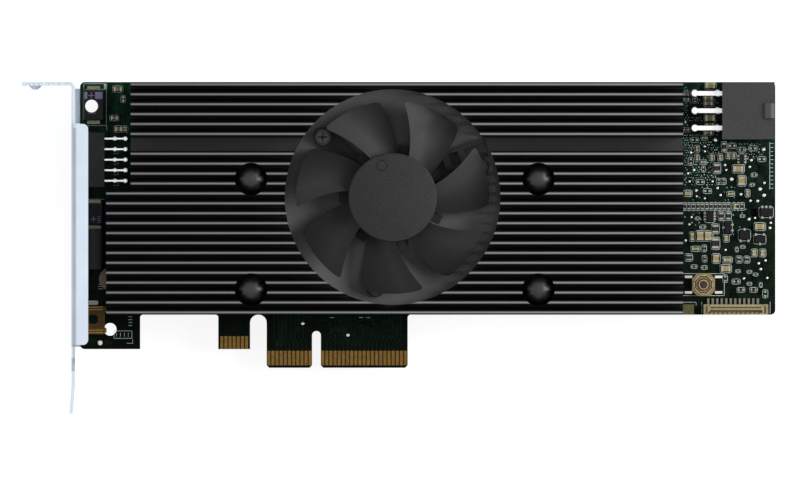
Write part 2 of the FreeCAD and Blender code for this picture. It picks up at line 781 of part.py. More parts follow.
def make_flange(body, bend_start):
    """Return flange along the face's component-side edge."""
    outline = (("face_outer", bend_start), ("face_outer", "bracket_rise"),
               ("flange_tip", "bracket_rise"), ("flange_tip", "bracket_rise - sheet"),
               ("face_inner", "bracket_rise - sheet"), ("face_inner", bend_start))
    add_pad(body, "flange", "XZ", "flange_low", "flange_high", outline)
    middle = "(flange_low + flange_high) / 2"
    round_edges(body, "flange_outer_bend", ALONG_Y, (("face_outer", middle, "bracket_rise"),),
                "bend_depth")
    round_edges(body, "flange_inner_bend", ALONG_Y,
                (("face_inner", middle, "bracket_rise - sheet"),), "bend_inside")
    corners = (("flange_tip", "flange_low", "bracket_rise"),
               ("flange_tip", "flange_high", "bracket_rise"))
    round_edges(body, "flange_corners", ALONG_Z, corners, "flange_corner")


def make_tab(body):
    """Top tab with its open screw slot, folded away from the board."""
    bend_low = "board_top - bend_depth"
    outline = (("face_inner", bend_low), ("face_inner", "board_top"), ("tab_tip", "board_top"),
               ("tab_tip", "board_top - sheet"), ("face_outer", "board_top - sheet"),
               ("face_outer", bend_low))
    add_pad(body, "tab", "XY", "bracket_back", "bracket_rise", outline)
    round_edges(body, "tab_outer_bend", ALONG_Z, (("face_inner", "board_top", "0"),), "bend_depth")
    round_edges(body, "tab_inner_bend", ALONG_Z, (("face_outer", "board_top - sheet", "0"),),
                "bend_inside")
    wing = box_corners("tab_tip", "bracket_back - tab_wing", "face_outer - tab_wing_start",
                       "bracket_back")
    add_pad(body, "tab_wing", "XZ", "board_top - sheet", "board_top", wing)
    make_dimple(body)
    slot_low = "tab_tip + tab_slot_from_tip - tab_slot_width / 2"
    slot_high = "tab_tip + tab_slot_from_tip + tab_slot_width / 2"
    slot_end = "bracket_back - tab_wing + tab_slot_depth"
    slot = box_corners(slot_low, "bracket_back - tab_wing", slot_high, slot_end)
    add_pocket(body, "tab_slot", "XZ", "board_top - sheet", "board_top", slot)
    ends = ((slot_low, "board_top", slot_end), (slot_high, "board_top", slot_end))
    round_edges(body, "tab_slot_end", ALONG_Y, ends, "tab_slot_width / 2 - fit_gap")


def make_dimple(body):
    """Small dome pressed down out of the tab."""
    sketch = new_sketch(body, "dimple_outline", "XY", "tab_dimple_rise")
    middle = "tab_tip + tab_dimple_from_tip"
    under = "board_top - sheet"
    corners = ((middle, under), (middle, under + " - tab_dimple_depth"),
               (middle + " + tab_dimple_radius", under))
    points = [FreeCAD.Vector(size(x), size(y), 0) for x, y in corners]
    depth = size("tab_dimple_depth")
    ball = (size("tab_dimple_radius") ** 2 + depth ** 2) / (2 * depth)
    centre = points[1] + ALONG_Y * ball
    axis = sketch.addGeometry(Part.LineSegment(points[0], points[1]), False)
    arc, first, last = add_arc(sketch, points[1], centre, points[2])
    top = sketch.addGeometry(Part.LineSegment(points[2], points[0]), False)
    sketch.addConstraint(Sketcher.Constraint("Coincident", axis, 2, arc, first))
    sketch.addConstraint(Sketcher.Constraint("Coincident", arc, last, top, 1))
    sketch.addConstraint(Sketcher.Constraint("Coincident", top, 2, axis, 1))
    for curve, end, corner in ((axis, 1, 0), (axis, 2, 1), (top, 1, 2)):
        hold_point(sketch, curve, end, *corners[corner])
    held = sketch.addConstraint(Sketcher.Constraint("Radius", arc, ball))
    bind(sketch, "Constraints[%d]" % held,
         "(tab_dimple_radius ^ 2 + tab_dimple_depth ^ 2) / (2 * tab_dimple_depth)")
    dome = body.newObject("PartDesign::Revolution", "dimple")
    dome.Profile = sketch
    dome.ReferenceAxis = (sketch, ["Edge1"])
    dome.Angle = 360
    document.recompute()


def make_windows(body):
    """Openings in the face for the ten-way header and for air."""
    window = box_corners("header_low_y - window_gap", "0",
                         "header_low_y + header_width + window_gap", "header_height + window_gap")
    add_pocket(body, "header_window", "YZ", "face_outer", "face_inner", window)
    vent = box_corners("vent_start", "vent_rise", "vent_start + vent_width",
                       "vent_rise + vent_length")
    first = add_pocket(body, "vent", "YZ", "face_outer", "face_inner", vent)
    repeat_along(body, "vents", [first], "Y", "vent_count", "vent_pitch")


# ---------------------------------------------------------------- heatsink

def screw_spots(radius):
    return [("screw_low_x + screw_span_x * %d" % column, "screw_low_y + screw_span_y * %d" % row,
             radius) for column in (0, 1) for row in (0, 1)]


def fan_screw_spots(radius):
    spots = []
    for step in range(int(size("fan_arm_count"))):
        turn = "(fan_screw_turn + 360 / fan_arm_count * %d) * 1 deg" % step
        spots.append(("fan_x + fan_screw_circle * cos(%s)" % turn,
                      "fan_y + fan_screw_circle * sin(%s)" % turn, radius))
    return spots


def make_heatsink():
    body = new_body("heatsink")
    outline = (("sink_stepped_front", "sink_low_edge"), ("sink_back", "sink_low_edge"),
               ("sink_back", "sink_high_edge"), ("sink_front", "sink_high_edge"),
               ("sink_front", "sink_step_y"), ("sink_stepped_front", "sink_step_y"))
    add_pad(body, "blank", "XY", "sink_seat", "sink_top", outline)
    add_pad(body, "bosses", "XY", "0", "sink_seat", *screw_spots("boss_radius"))
    last_groove = "first_groove - fin_pitch * (fin_count - 2)"
    gap = box_corners(last_groove + " - groove_width / 2", "groove_floor",
                      last_groove + " + groove_width / 2", "sink_top")
    groove = add_pocket(body, "groove", "YZ", "sink_stepped_front", "sink_back", gap)
    repeat_along(body, "grooves", [groove], "Y", "fin_count - 1", "fin_pitch")
    channel = box_corners("channel_y - fin_pitch / 2", "groove_floor", "channel_y + fin_pitch / 2",
                          "sink_top")
    add_pocket(body, "cable_channel", "YZ", "sink_stepped_front", "sink_back", channel)
    add_pocket(body, "fan_pocket", "XY", "fan_floor", "sink_top",
               ("fan_x", "fan_y", "fan_pocket_radius"))
    add_pocket(body, "counterbores", "XY", "counterbore_seat", "sink_top",
               *screw_spots("counterbore_radius"))
    add_pocket(body, "screw_holes", "XY", "0", "sink_top", *screw_spots("screw_hole_radius"))
    add_pocket(body, "fan_screw_holes", "XY", "fan_floor - fan_screw_length - fit_gap",
               "fan_floor", *fan_screw_spots("fan_screw_shank + fit_gap"))


def repeat_on_screw_grid(body):
    """Repeats the whole body at the other three heatsink fixings."""
    grid = body.newObject("PartDesign::MultiTransform", "screw_grid")
    rows = body.newObject("PartDesign::LinearPattern", "screw_rows")
    rows.Direction = (origin_item(body, "Y_Axis"), [""])
    rows.Occurrences = 2
    bind(rows, "Length", "screw_span_y")
    columns = body.newObject("PartDesign::LinearPattern", "screw_columns")
    columns.Direction = (origin_item(body, "X_Axis"), [""])
    columns.Occurrences = 2
    bind(columns, "Length", "screw_span_x")
    grid.TransformMode = "Whole shape"
    grid.Transformations = [rows, columns]
    body.Tip = grid
    document.recompute()


def make_heatsink_screws():
    body = new_body("heatsink_screws", "screw_low_x", "screw_low_y", "counterbore_seat")
    tip = "solder_face - nut_height - counterbore_seat"
    shoulder = "screw_head_rise - screw_dome"
    head_low = shoulder + " - screw_head_skirt"
    profile = (("0", tip), ("screw_shank_radius", tip), ("screw_shank_radius", "0"),
               ("screw_neck_radius", "0"), ("screw_neck_radius", head_low),
               ("screw_head_radius", head_low), ("screw_head_radius", shoulder),
               ("screw_crown_radius", "screw_head_rise"), ("0", "screw_head_rise"))
    add_revolution(body, "screw", profile)
    repeat_on_screw_grid(body)


def make_heatsink_nuts():
    body = new_body("heatsink_nuts", "screw_low_x", "screw_low_y", "solder_face - nut_height")
    corners = tuple(("nut_radius * cos(%d * 1 deg)" % turn, "nut_radius * sin(%d * 1 deg)" % turn)
                    for turn in range(0, 360, 60))
    add_pad(body, "nut", "XY", "0", "nut_height", corners,
            ("0", "0", "screw_shank_radius + fit_gap"))
    repeat_on_screw_grid(body)


# ---------------------------------------------------------------- chips under the heatsink

def chip_grid(margin, low, high):
    """Square pieces in the rows of processors, each smaller than its chip by a margin all round."""
    pieces = []
    half = size("processor_size") / 2 - margin
    columns, rows = int(size("processor_columns")), int(size("processor_rows"))
    for column in range(columns):
        for row in range(rows):
            across = (column - (columns - 1) / 2) * size("processor_pitch_x")
            up = (row - (rows - 1) / 2) * size("processor_pitch_y")
            x, y = size("processor_centre_x") + across, size("processor_y") + up
            pieces.append(block((x - half, y - half, low), (x + half, y + half, high)))
    return pieces


def make_hidden_chips():
    top = size("processor_height")
    add_feature("processor_chips", Part.makeCompound(chip_grid(0, 0, top)))
    pads = chip_grid(size("pad_margin"), top, size("sink_seat"))
    half = size("bridge_size") / 2
    x, y = size("bridge_x"), size("bridge_y")
    inner = half - size("pad_margin")
    pads.append(block((x - inner, y - inner, size("bridge_height")),
                      (x + inner, y + inner, size("sink_seat"))))
    add_feature("thermal_pads", Part.makeCompound(pads))
    bridge = document.addObject("Part::Box", "bridge_chip")
    bridge.Label = "bridge_chip"
    bind(bridge, "Length", "bridge_size")
    bind(bridge, "Width", "bridge_size")
    bind(bridge, "Height", "bridge_height")
    place(bridge, "bridge_x - bridge_size / 2", "bridge_y - bridge_size / 2")
    parts_made.append(bridge)
    make_power_inductors()
    make_support_pad()


def make_power_inductors():
    body = new_body("power_inductors", "choke_x", "board_base + choke_rise")
    square = box_corners("-choke_size / 2", "-choke_size / 2", "choke_size / 2", "choke_size / 2")
    inductor = add_pad(body, "inductor", "XY", "0", "choke_height", square)
    repeat_along(body, "inductor_row", [inductor], "Y", "choke_count", "choke_pitch")


def make_support_pad():
    pad = document.addObject("Part::Cylinder", "support_pad")
    pad.Label = "support_pad"
    bind(pad, "Radius", "support_radius")
    bind(pad, "Height", "sink_seat")
    place(pad, "support_x", "board_base + support_rise")
    parts_made.append(pad)


# ---------------------------------------------------------------- fan

def make_fan_base():
    """Three-armed plate with the bearing tube and the cable guide."""
    body = new_body("fan_base", "fan_x", "fan_y", "fan_floor")
    add_pad(body, "plate", "XY", "0", "fan_plate", ("0", "0", "fan_plate_radius"))
    half = "fan_arm_width / 2"
    arm = add_pad(body, "arm", "XY", "0", "fan_plate",
                  box_corners("0", "-" + half, "fan_screw_circle + " + half, half))
    ends = (("fan_screw_circle + " + half, "-" + half, "0"),
            ("fan_screw_circle + " + half, half, "0"))
    rounded = round_edges(body, "arm_end", ALONG_Z, ends, half + " - fit_gap")
    hole = add_pocket(body, "arm_hole", "XY", "0", "fan_plate",
                      ("fan_screw_circle", "0", "fan_screw_shank + fit_gap"))
    repeat_around(body, "arms", [arm, rounded, hole], "fan_arm_count")
    bind(body, "Placement.Rotation.Angle", "fan_screw_turn")
    add_guide(body)
    tube = (("0", "fan_plate"), ("tube_radius", "fan_plate"), ("tube_radius", "tube_height"),
            ("0", "tube_height"))
    add_revolution(body, "bearing_tube", tube)
    bore = (("0", "fan_plate / 2"), ("sleeve_radius + fit_gap", "fan_plate / 2"),
            ("sleeve_radius + fit_gap", "tube_height"), ("0", "tube_height"))
    add_revolution(body, "bearing_bore", bore, "PartDesign::Groove")


def add_guide(body):
    """Channel beside one arm, crossed by two straps, that leads the lead out to the grooves."""
    start = "fan_plate_radius - fan_guide_wall"
    clear_start = "fan_hub_radius + fan_running_gap"
    low = "fan_arm_width / 2 - fan_guide_wall"
    high = low + " + fan_guide_width"
    floor = box_corners(start, low, "fan_guide_reach", high)
    add_pad(body, "guide_floor", "XY", "0", "fan_guide_wall", floor)
    wall = box_corners(clear_start, high + " - fan_guide_wall", "fan_guide_reach", high)
    add_pad(body, "guide_wall", "XY", "0", "fan_guide_height", wall)
    for name, at in (("inner_strap", "fan_strap_inner"), ("outer_strap", "fan_strap_outer")):
        strap = box_corners(at, low, "(%s) + fan_strap_width" % at, high)
        add_pad(body, name, "XY", "fan_guide_height - fan_guide_wall", "fan_guide_height", strap)
        post = box_corners(at, low, "(%s) + fan_strap_width" % at, low + " + fan_guide_wall")
        add_pad(body, name + "_post", "XY", "fan_plate", "fan_guide_height", post)


def make_fan_screws():
    """Pan-head screws that hold the fan base to the heatsink."""
    body = new_body("fan_screws", "fan_x", "fan_y", "fan_floor")
    bind(body, "Placement.Rotation.Angle", "fan_screw_turn")
    shank = add_pad(body, "shank", "XY", "-fan_screw_length", "fan_plate",
                    ("fan_screw_circle", "0", "fan_screw_shank"))
    head = add_pad(body, "head", "XY", "fan_plate", "fan_plate + fan_screw_head",
                   ("fan_screw_circle", "0", "fan_screw_head_radius"))
    repeat_around(body, "screw_ring", [shank, head], "fan_arm_count")


def make_fan_core():
    """Sleeve bearing, laminated core, windings and driver board, all fixed to the base."""
    sleeve = new_body("fan_bearing", "fan_x", "fan_y", "fan_floor + fan_plate / 2 + fit_gap")
    bore = "shaft_radius + shaft_gap"
    add_revolution(sleeve, "sleeve", ((bore, "0"), ("sleeve_radius", "0"),
                                      ("sleeve_radius", "sleeve_height"), (bore, "sleeve_height")))
    core = new_body("fan_core", "fan_x", "fan_y", "fan_floor + core_rise")
    ring = "tube_radius + fit_gap + core_ring"
    add_pad(core, "ring", "XY", "0", "core_height", ("0", "0", ring))
    half = "core_arm_width / 2"
    arm = add_pad(core, "tooth", "XY", "0", "core_height",
                  box_corners("0", "-" + half, "core_radius - core_shoe / 2", half))
    repeat_around(core, "teeth", [arm], "core_arms")
    rim = (("core_radius - core_shoe", "0"), ("core_radius", "0"), ("core_radius", "core_height"),
           ("core_radius - core_shoe", "core_height"))
    add_revolution(core, "shoes", rim)
    inside = "core_diagonal - core_shoe"
    gap = add_pocket(core, "shoe_gap", "XY", "0", "core_height",
                     ((inside + " - core_gap", inside + " + core_gap"),
                      (inside + " + core_gap", inside + " - core_gap"),
                      ("core_diagonal + core_gap", "core_diagonal - core_gap"),
                      ("core_diagonal - core_gap", "core_diagonal + core_gap")))
    repeat_around(core, "shoe_gaps", [gap], "core_arms")
    add_pocket(core, "core_bore", "XY", "0", "core_height", ("0", "0", "tube_radius + fit_gap"))
    coils = new_body("fan_windings", "fan_x", "fan_y", "fan_floor + core_rise")
    inner = ring + " + fit_gap"
    wall = half + " + coil_wall"
    outer = "sqrt((core_radius - core_shoe) ^ 2 - (%s) ^ 2) - fit_gap" % wall
    coil = add_pad(coils, "coil", "XY", "-coil_wall", "core_height + coil_wall",
                   box_corners(inner, "-(%s)" % wall, outer, wall))
    slot = add_pocket(coils, "tooth_slot", "XY", "-fit_gap", "core_height + fit_gap",
                      box_corners(inner, "-(%s) - fit_gap" % half, outer, half + " + fit_gap"))
    repeat_around(coils, "coils", [coil, slot], "core_arms")
    driver = new_body("fan_driver_board", "fan_x", "fan_y", "fan_floor + fan_plate")
    add_pad(driver, "ring_board", "XY", "0", "driver_thickness", ("0", "0", "driver_radius"),
            ("0", "0", "tube_radius + fit_gap"))


def blade_section(body, place_name, plane_radius, thickness):
    """One section of the blade in a plane that faces the shaft, from trailing to leading edge."""
    turn = ("blade_first_turn - blade_span / 2 - blade_sweep * (blade_tip_radius - (%s))"
            " / (blade_tip_radius - fan_hub_radius)" % plane_radius)
    reach = "(%s) * tan(blade_span / 2 * 1 deg)" % plane_radius
    sketch = body.newObject("Sketcher::SketchObject", "blade_" + place_name)
    sketch.AttachmentSupport = (origin_item(body, "YZ_Plane"), [""])
    sketch.MapMode = "FlatFace"
    turned_about_shaft = FreeCAD.Rotation(ALONG_Y, size(turn))
    sketch.AttachmentOffset = FreeCAD.Placement(FreeCAD.Vector(0, 0, 0), turned_about_shaft)
    bind(sketch, "AttachmentOffset.Rotation.Angle", turn)
    bind(sketch, "AttachmentOffset.Base.x", "(%s) * sin((%s) * 1 deg)" % (plane_radius, turn))
    bind(sketch, "AttachmentOffset.Base.z", "(%s) * cos((%s) * 1 deg)" % (plane_radius, turn))
    middle = "(blade_low + blade_high) / 2"
    corners = (
        ("-(%s)" % reach, "blade_low"),
        ("0", middle + " - blade_camber - (%s) / 2" % thickness),
        (reach, "blade_high - (%s)" % thickness),
        (reach, "blade_high"),
        ("0", middle + " - blade_camber + (%s) / 2" % thickness),
        ("-(%s)" % reach, "blade_low + (%s)" % thickness),
    )
    points = [FreeCAD.Vector(size(x), size(y), 0) for x, y in corners]
    lower_face, upper_face = points[:3], points[3:]
    centres = [Part.Arc(*face).toShape().Curve.Center for face in (lower_face, upper_face)]
    under, under_first, under_last = add_arc(sketch, lower_face[0], centres[0], lower_face[-1])
    lead = sketch.addGeometry(Part.LineSegment(lower_face[-1], upper_face[0]), False)
    over, over_first, over_last = add_arc(sketch, upper_face[0], centres[1], upper_face[-1])
    trail = sketch.addGeometry(Part.LineSegment(upper_face[-1], lower_face[0]), False)
    sketch.addConstraint(Sketcher.Constraint("Coincident", under, under_last, lead, 1))
    sketch.addConstraint(Sketcher.Constraint("Coincident", lead, 2, over, over_first))
    sketch.addConstraint(Sketcher.Constraint("Coincident", over, over_last, trail, 1))
    sketch.addConstraint(Sketcher.Constraint("Coincident", trail, 2, under, under_first))
    hold_point(sketch, trail, 2, *corners[0])
    hold_point(sketch, lead, 1, *corners[2])
    hold_point(sketch, lead, 2, *corners[3])
    hold_point(sketch, trail, 1, *corners[-1])
    for curve, (x, y) in ((under, corners[1]), (over, corners[-2])):
        spot = sketch.addGeometry(Part.Point(FreeCAD.Vector(size(x), size(y), 0)), True)
        hold_point(sketch, spot, 1, x, y)
        sketch.addConstraint(Sketcher.Constraint("PointOnObject", spot, 1, curve))
    return sketch


def make_fan_impeller():
    """Cup-shaped hub with seven swept, cambered blades."""
    body = new_body("fan_impeller", "fan_x", "fan_y", "fan_floor")
    sections = [
        blade_section(body, "root", "hub_inner + fan_hub_wall / 3", "blade_root_thickness"),
        blade_section(body, "middle", "(fan_hub_radius + blade_tip_radius) / 2",
                      "(blade_root_thickness + blade_tip_thickness) / 2"),
        blade_section(body, "tip", "blade_tip_radius + blade_overrun", "blade_tip_thickness"),
    ]
    document.recompute()
    blade = body.newObject("PartDesign::AdditiveLoft", "blade")
    blade.Profile = sections[0]
    blade.Sections = sections[1:]
    blade.Ruled = True
    document.recompute()
    repeat_around(body, "blades", [blade], "blade_count")
    add_pocket(body, "tip_circle", "XY", "0", "fan_hub_top", ("0", "0", "blade_tip_radius * 2"),
               ("0", "0", "blade_tip_radius"))
    hub = (("0", "fan_hub_low"), ("fan_hub_radius", "fan_hub_low"),
           ("fan_hub_radius", "fan_hub_top - fan_hub_bevel"),
           ("fan_hub_radius - fan_hub_bevel", "fan_hub_top"), ("0", "fan_hub_top"))
    add_revolution(body, "hub", hub)
    hollow = (("0", "fan_hub_low"), ("hub_inner", "fan_hub_low"), ("hub_inner", "yoke_top"),
              ("0", "yoke_top"))
    add_revolution(body, "hub_hollow", hollow, "PartDesign::Groove")
    gate = ("fan_gate_circle * cos(fan_gate_turn * 1 deg)",
            "fan_gate_circle * sin(fan_gate_turn * 1 deg)", "fan_gate_radius")
    add_pocket(body, "gate_mark", "XY", "fan_hub_top - fan_gate_depth", "fan_hub_top", gate)


def make_rotor_parts():
    """Steel yoke, ring magnet and shaft that turn with the impeller."""
    yoke = new_body("fan_yoke", "fan_x", "fan_y", "fan_floor")
    low = "fan_hub_low + yoke_wall"
    outer = "hub_inner - fit_gap"
    cup = ((outer, low), (outer, "yoke_top - fit_gap"), ("shaft_radius + fit_gap", "yoke_top - fit_gap"),
           ("shaft_radius + fit_gap", "yoke_top - fit_gap - yoke_wall"),
           ("yoke_inner", "yoke_top - fit_gap - yoke_wall"), ("yoke_inner", low))
    add_revolution(yoke, "cup", cup)
    magnet = new_body("fan_magnet", "fan_x", "fan_y", "fan_floor")
    top = low + " + magnet_height"
    add_revolution(magnet, "ring", (("magnet_inner", low), ("yoke_inner - fit_gap", low),
                                    ("yoke_inner - fit_gap", top), ("magnet_inner", top)))
    shaft = new_body("fan_shaft", "fan_x", "fan_y", "fan_floor")
    shaft_low = "fan_plate / 2 + end_play"
    add_revolution(shaft, "pin", (("0", shaft_low), ("shaft_radius", shaft_low),
                                  ("shaft_radius", "yoke_top - fit_gap"), ("0", "yoke_top - fit_gap")))


# ---------------------------------------------------------------- headers

def square_grid(columns, rows, half):
    """Square outlines about every crossing of the columns and rows."""
    return [box_corners("%s - %s" % (y, half), "%s - %s" % (z, half),
                        "%s + %s" % (y, half), "%s + %s" % (z, half))
            for y in columns for z in rows]


def make_power_housing():
    body = new_body("power_housing", "power_front", "power_middle", "power_lift")
    half = "power_width / 2"
    add_pad(body, "shell", "XY", "0", "power_height",
            box_corners("0", "-" + half, "power_length", half))
    feet = box_corners("0", "-" + half, "power_length / 4", half)
    add_pad(body, "standoff", "XY", "-power_lift", "0", feet)
    columns = ["power_pitch * (%d - (power_columns - 1) / 2)" % column
               for column in range(int(size("power_columns")))]
    rows = ["power_low_row - power_lift", "power_high_row - power_lift"]
    sockets = square_grid(columns, rows, "power_socket / 2")
    add_pocket(body, "sockets", "YZ", "power_length - power_socket_depth", "power_length", *sockets)
    bores = square_grid(columns, rows, "(power_pin / 2 + fit_gap)")
    add_pocket(body, "pin_bores", "YZ", "0", "power_length - power_socket_depth", *bores)
    ramp = (("power_length - power_latch_length", "power_height"),
            ("power_length", "power_height"),
            ("power_length", "power_height + power_latch_height"),
            ("power_length - power_latch_top", "power_height + power_latch_height"))
    width = "power_latch_width / 2"
    add_pad(body, "latch_ramp", "XZ", "-" + width, width, ramp)


def bent_pin(body, name, row, leg, reach, thick, bend):
    """A square pin that runs out of its housing and turns down through the board."""
    path = new_sketch(body, name + "_path", "XZ")
    tail = "solder_face - power_tail"
    points = ((reach, row), ("-(%s) + (%s)" % (leg, bend), row),
              ("-(%s)" % leg, "(%s) - (%s)" % (row, bend)), ("-(%s)" % leg, tail))
    spots = [FreeCAD.Vector(size(x), size(y), 0) for x, y in points]
    along = path.addGeometry(Part.LineSegment(spots[0], spots[1]), False)
    centre = FreeCAD.Vector(spots[1].x, spots[2].y, 0)
    arc, first, last = add_arc(path, spots[1], centre, spots[2])
    down = path.addGeometry(Part.LineSegment(spots[2], spots[3]), False)
    path.addConstraint(Sketcher.Constraint("Coincident", along, 2, arc, first))
    path.addConstraint(Sketcher.Constraint("Coincident", arc, last, down, 1))
    hold_point(path, along, 1, *points[0])
    hold_point(path, along, 2, *points[1])
    hold_point(path, down, 1, *points[2])
    hold_point(path, down, 2, *points[3])
    held = path.addConstraint(Sketcher.Constraint("Radius", arc, size(bend)))
    bind(path, "Constraints[%d]" % held, bend)
    section = new_sketch(body, name + "_section", "YZ", reach)
    half = "(%s) / 2" % thick
    low, high = "(%s) - %s" % (row, half), "(%s) + %s" % (row, half)
    add_outline(section, box_corners("-" + half, low, half, high))
    document.recompute()
    pin = body.newObject("PartDesign::AdditivePipe", name)
    pin.Profile = section
    pin.Spine = (path, ["Edge1", "Edge2", "Edge3"])
    document.recompute()
    return pin


def make_power_pins():
    body = new_body("power_pins", "power_front", "power_middle - power_pitch * (power_columns - 1) / 2")
    shapes = []
    for name, row, leg in (("low", "power_low_row", "power_near_leg"),
                           ("high", "power_high_row", "power_far_leg")):
        shapes.append(bent_pin(body, name + "_pin", row, leg, "power_pin_reach", "power_pin",
                               "power_bend"))
    repeat_along(body, "pin_columns", shapes, "Y", "power_columns", "power_pitch")


def make_header():
    body = new_body("header_housing", "header_front_x", "header_low_y")
    add_pad(body, "shell", "XY", "0", "header_height",
            box_corners("0", "0", "header_length", "header_width"))
    mouth = box_corners("header_wall", "header_wall / 2", "header_width - header_wall",
                        "header_height - header_wall")
    add_pocket(body, "mouth", "YZ", "0", "header_depth", mouth)
    columns = ["header_width / 2 + header_pitch * (%d - (header_columns - 1) / 2)" % column
               for column in range(int(size("header_columns")))]
    bores = square_grid(columns, ["header_low_row", "header_high_row"],
                        "(header_pin / 2 + fit_gap)")
    add_pocket(body, "pin_bores", "YZ", "header_depth", "header_length", *bores)
    pins = new_body("header_pins", "header_back_x", "header_first_pin")
    shapes = []
    for name, row, leg in (("low", "header_low_row", "header_near_leg"),
                           ("high", "header_high_row", "header_far_leg")):
        shapes.append(short_pin(pins, name + "_pin", row, leg))
    repeat_along(pins, "pin_columns", shapes, "Y", "header_columns", "header_pitch")


def short_pin(body, name, row, leg):
    """A square header pin: a level run and a foot that stands on its solder pad."""
    half = "header_pin / 2"
    low, high = "%s - %s" % (row, half), "%s + %s" % (row, half)
    near, far = "%s - %s" % (leg, half), "%s + %s" % (leg, half)
    outline = (("-header_pin_reach", low), (near, low), (near, "0"), (far, "0"), (far, high),
               ("-header_pin_reach", high))
    return add_pad(body, name, "XZ", "-" + half, half, outline)


def make_wire_connector():
    body = new_body("wire_housing", "wire_front", "board_base")
    add_pad(body, "shell", "XY", "0", "wire_height",
            box_corners("0", "0", "wire_length", "wire_depth"))
    mouth = box_corners("wire_wall", "wire_wall", "wire_length - wire_wall",
                        "wire_height - wire_wall")
    add_pocket(body, "mouth", "XZ", "0", "wire_mouth_depth", mouth)
    slot = box_corners("wire_wall * 3", "wire_wall", "wire_length - wire_wall * 3",
                       "wire_slot_depth")
    add_pocket(body, "top_slot", "XY", "wire_height - wire_wall", "wire_height", slot)
    pins = new_body("wire_pins", "wire_first_pin", "board_base + wire_depth")
    low = box_corners("-wire_pin_width / 2", "0", "wire_pin_width / 2", "wire_pin_reach")
    foot = add_pad(pins, "tail", "XY", "0", "lead_thickness * 2", low)
    riser = add_pad(pins, "riser", "XY", "0", "wire_height / 2",
                    box_corners("-wire_pin_width / 2", "0", "wire_pin_width / 2",
                                "lead_thickness * 2"))
    repeat_along(pins, "tails", [foot, riser], "X", "wire_pin_count", "wire_pin_pitch")


# ---------------------------------------------------------------- tact switch

def make_switch():
    half = "switch_size / 2"
    chamfered = ((half, "-%s + switch_corner" % half), (half, "%s - switch_corner" % half),
                 ("%s - switch_corner" % half, half), ("-%s + switch_corner" % half, half),
                 ("-" + half, "%s - switch_corner" % half), ("-" + half, "-%s + switch_corner" % half),
                 ("-%s + switch_corner" % half, "-" + half), ("%s - switch_corner" % half, "-" + half))
    base = new_body("switch_base", "switch_x", "switch_y")
    add_pad(base, "block", "XY", "0", "switch_base", chamfered)
    flange = "switch_button_radius + switch_flange"
    add_pocket(base, "well", "XY", "switch_base - switch_flange_thickness - switch_travel"
               " - switch_clearance - dome_thickness", "switch_base",
               ("0", "0", flange + " + switch_clearance"))
    cover = new_body("switch_cover", "switch_x", "switch_y", "switch_base")
    add_pad(cover, "plate", "XY", "0", "switch_cover", chamfered)
    collar = (("switch_collar_radius - switch_cover * 2", "0"), ("switch_collar_radius", "0"),
              ("switch_collar_radius", "switch_cover + switch_collar_height"),
              ("switch_collar_radius - switch_cover * 2", "switch_cover + switch_collar_height"))
    add_revolution(cover, "collar", collar)
    add_pocket(cover, "button_hole", "XY", "0", "switch_cover", ("0", "0", "button_hole_radius"))
    dome = new_body("switch_dome", "switch_x", "switch_y")
    well_floor = ("switch_base - switch_flange_thickness - switch_travel - switch_clearance"
                  " - dome_thickness")
    add_pad(dome, "disc", "XY", well_floor, well_floor + " + dome_thickness",
            ("0", "0", "switch_button_radius"))
    plunger = new_body("switch_plunger", "switch_x", "switch_y")
    low = "switch_base - switch_flange_thickness - switch_clearance"
    top = "collar_top + switch_button_height - switch_collar_height"
    profile = (("0", low), (flange, low), (flange, low + " + switch_flange_thickness"),
               ("switch_button_radius", low + " + switch_flange_thickness"),
               ("switch_button_radius", top + " - switch_clearance * 3"),
               ("switch_button_radius - switch_clearance * 3", top), ("0", top))
    add_revolution(plunger, "button", profile)
    legs = new_body("switch_terminals", "switch_x", "switch_y")
    leg_half = "switch_leg_width / 2"
    spread = "switch_leg_spread / 2"
    shapes = []
    for side in ("1", "-1"):
        inner = "switch_size / 2 * " + side
        outer = "(switch_size / 2 + switch_leg_reach) * " + side
        for level in ("1", "-1"):
            low_y = "%s * %s - %s" % (spread, level, leg_half)
            high_y = "%s * %s + %s" % (spread, level, leg_half)
            shapes.append(((inner, low_y), (outer, low_y), (outer, high_y), (inner, high_y)))
    add_pad(legs, "legs", "XY", "0", "switch_leg_thickness", *shapes)


# ---------------------------------------------------------------- parts beside the bracket

def leaning_block(low, high, lean_x, lean_y):
    """A block between two corners whose four sides lean in towards the top."""
    loops = []
    for in_x, in_y, level in ((0, 0, low[2]), (lean_x, lean_y, high[2])):
        corners = ((low[0] + in_x, low[1] + in_y), (high[0] - in_x, low[1] + in_y),
                   (high[0] - in_x, high[1] - in_y), (low[0] + in_x, high[1] - in_y))
        points = [FreeCAD.Vector(x, y, level) for x, y in corners]
        loops.append(Part.makePolygon(points + points[:1]))
    return Part.makeLoft(loops, True, True)


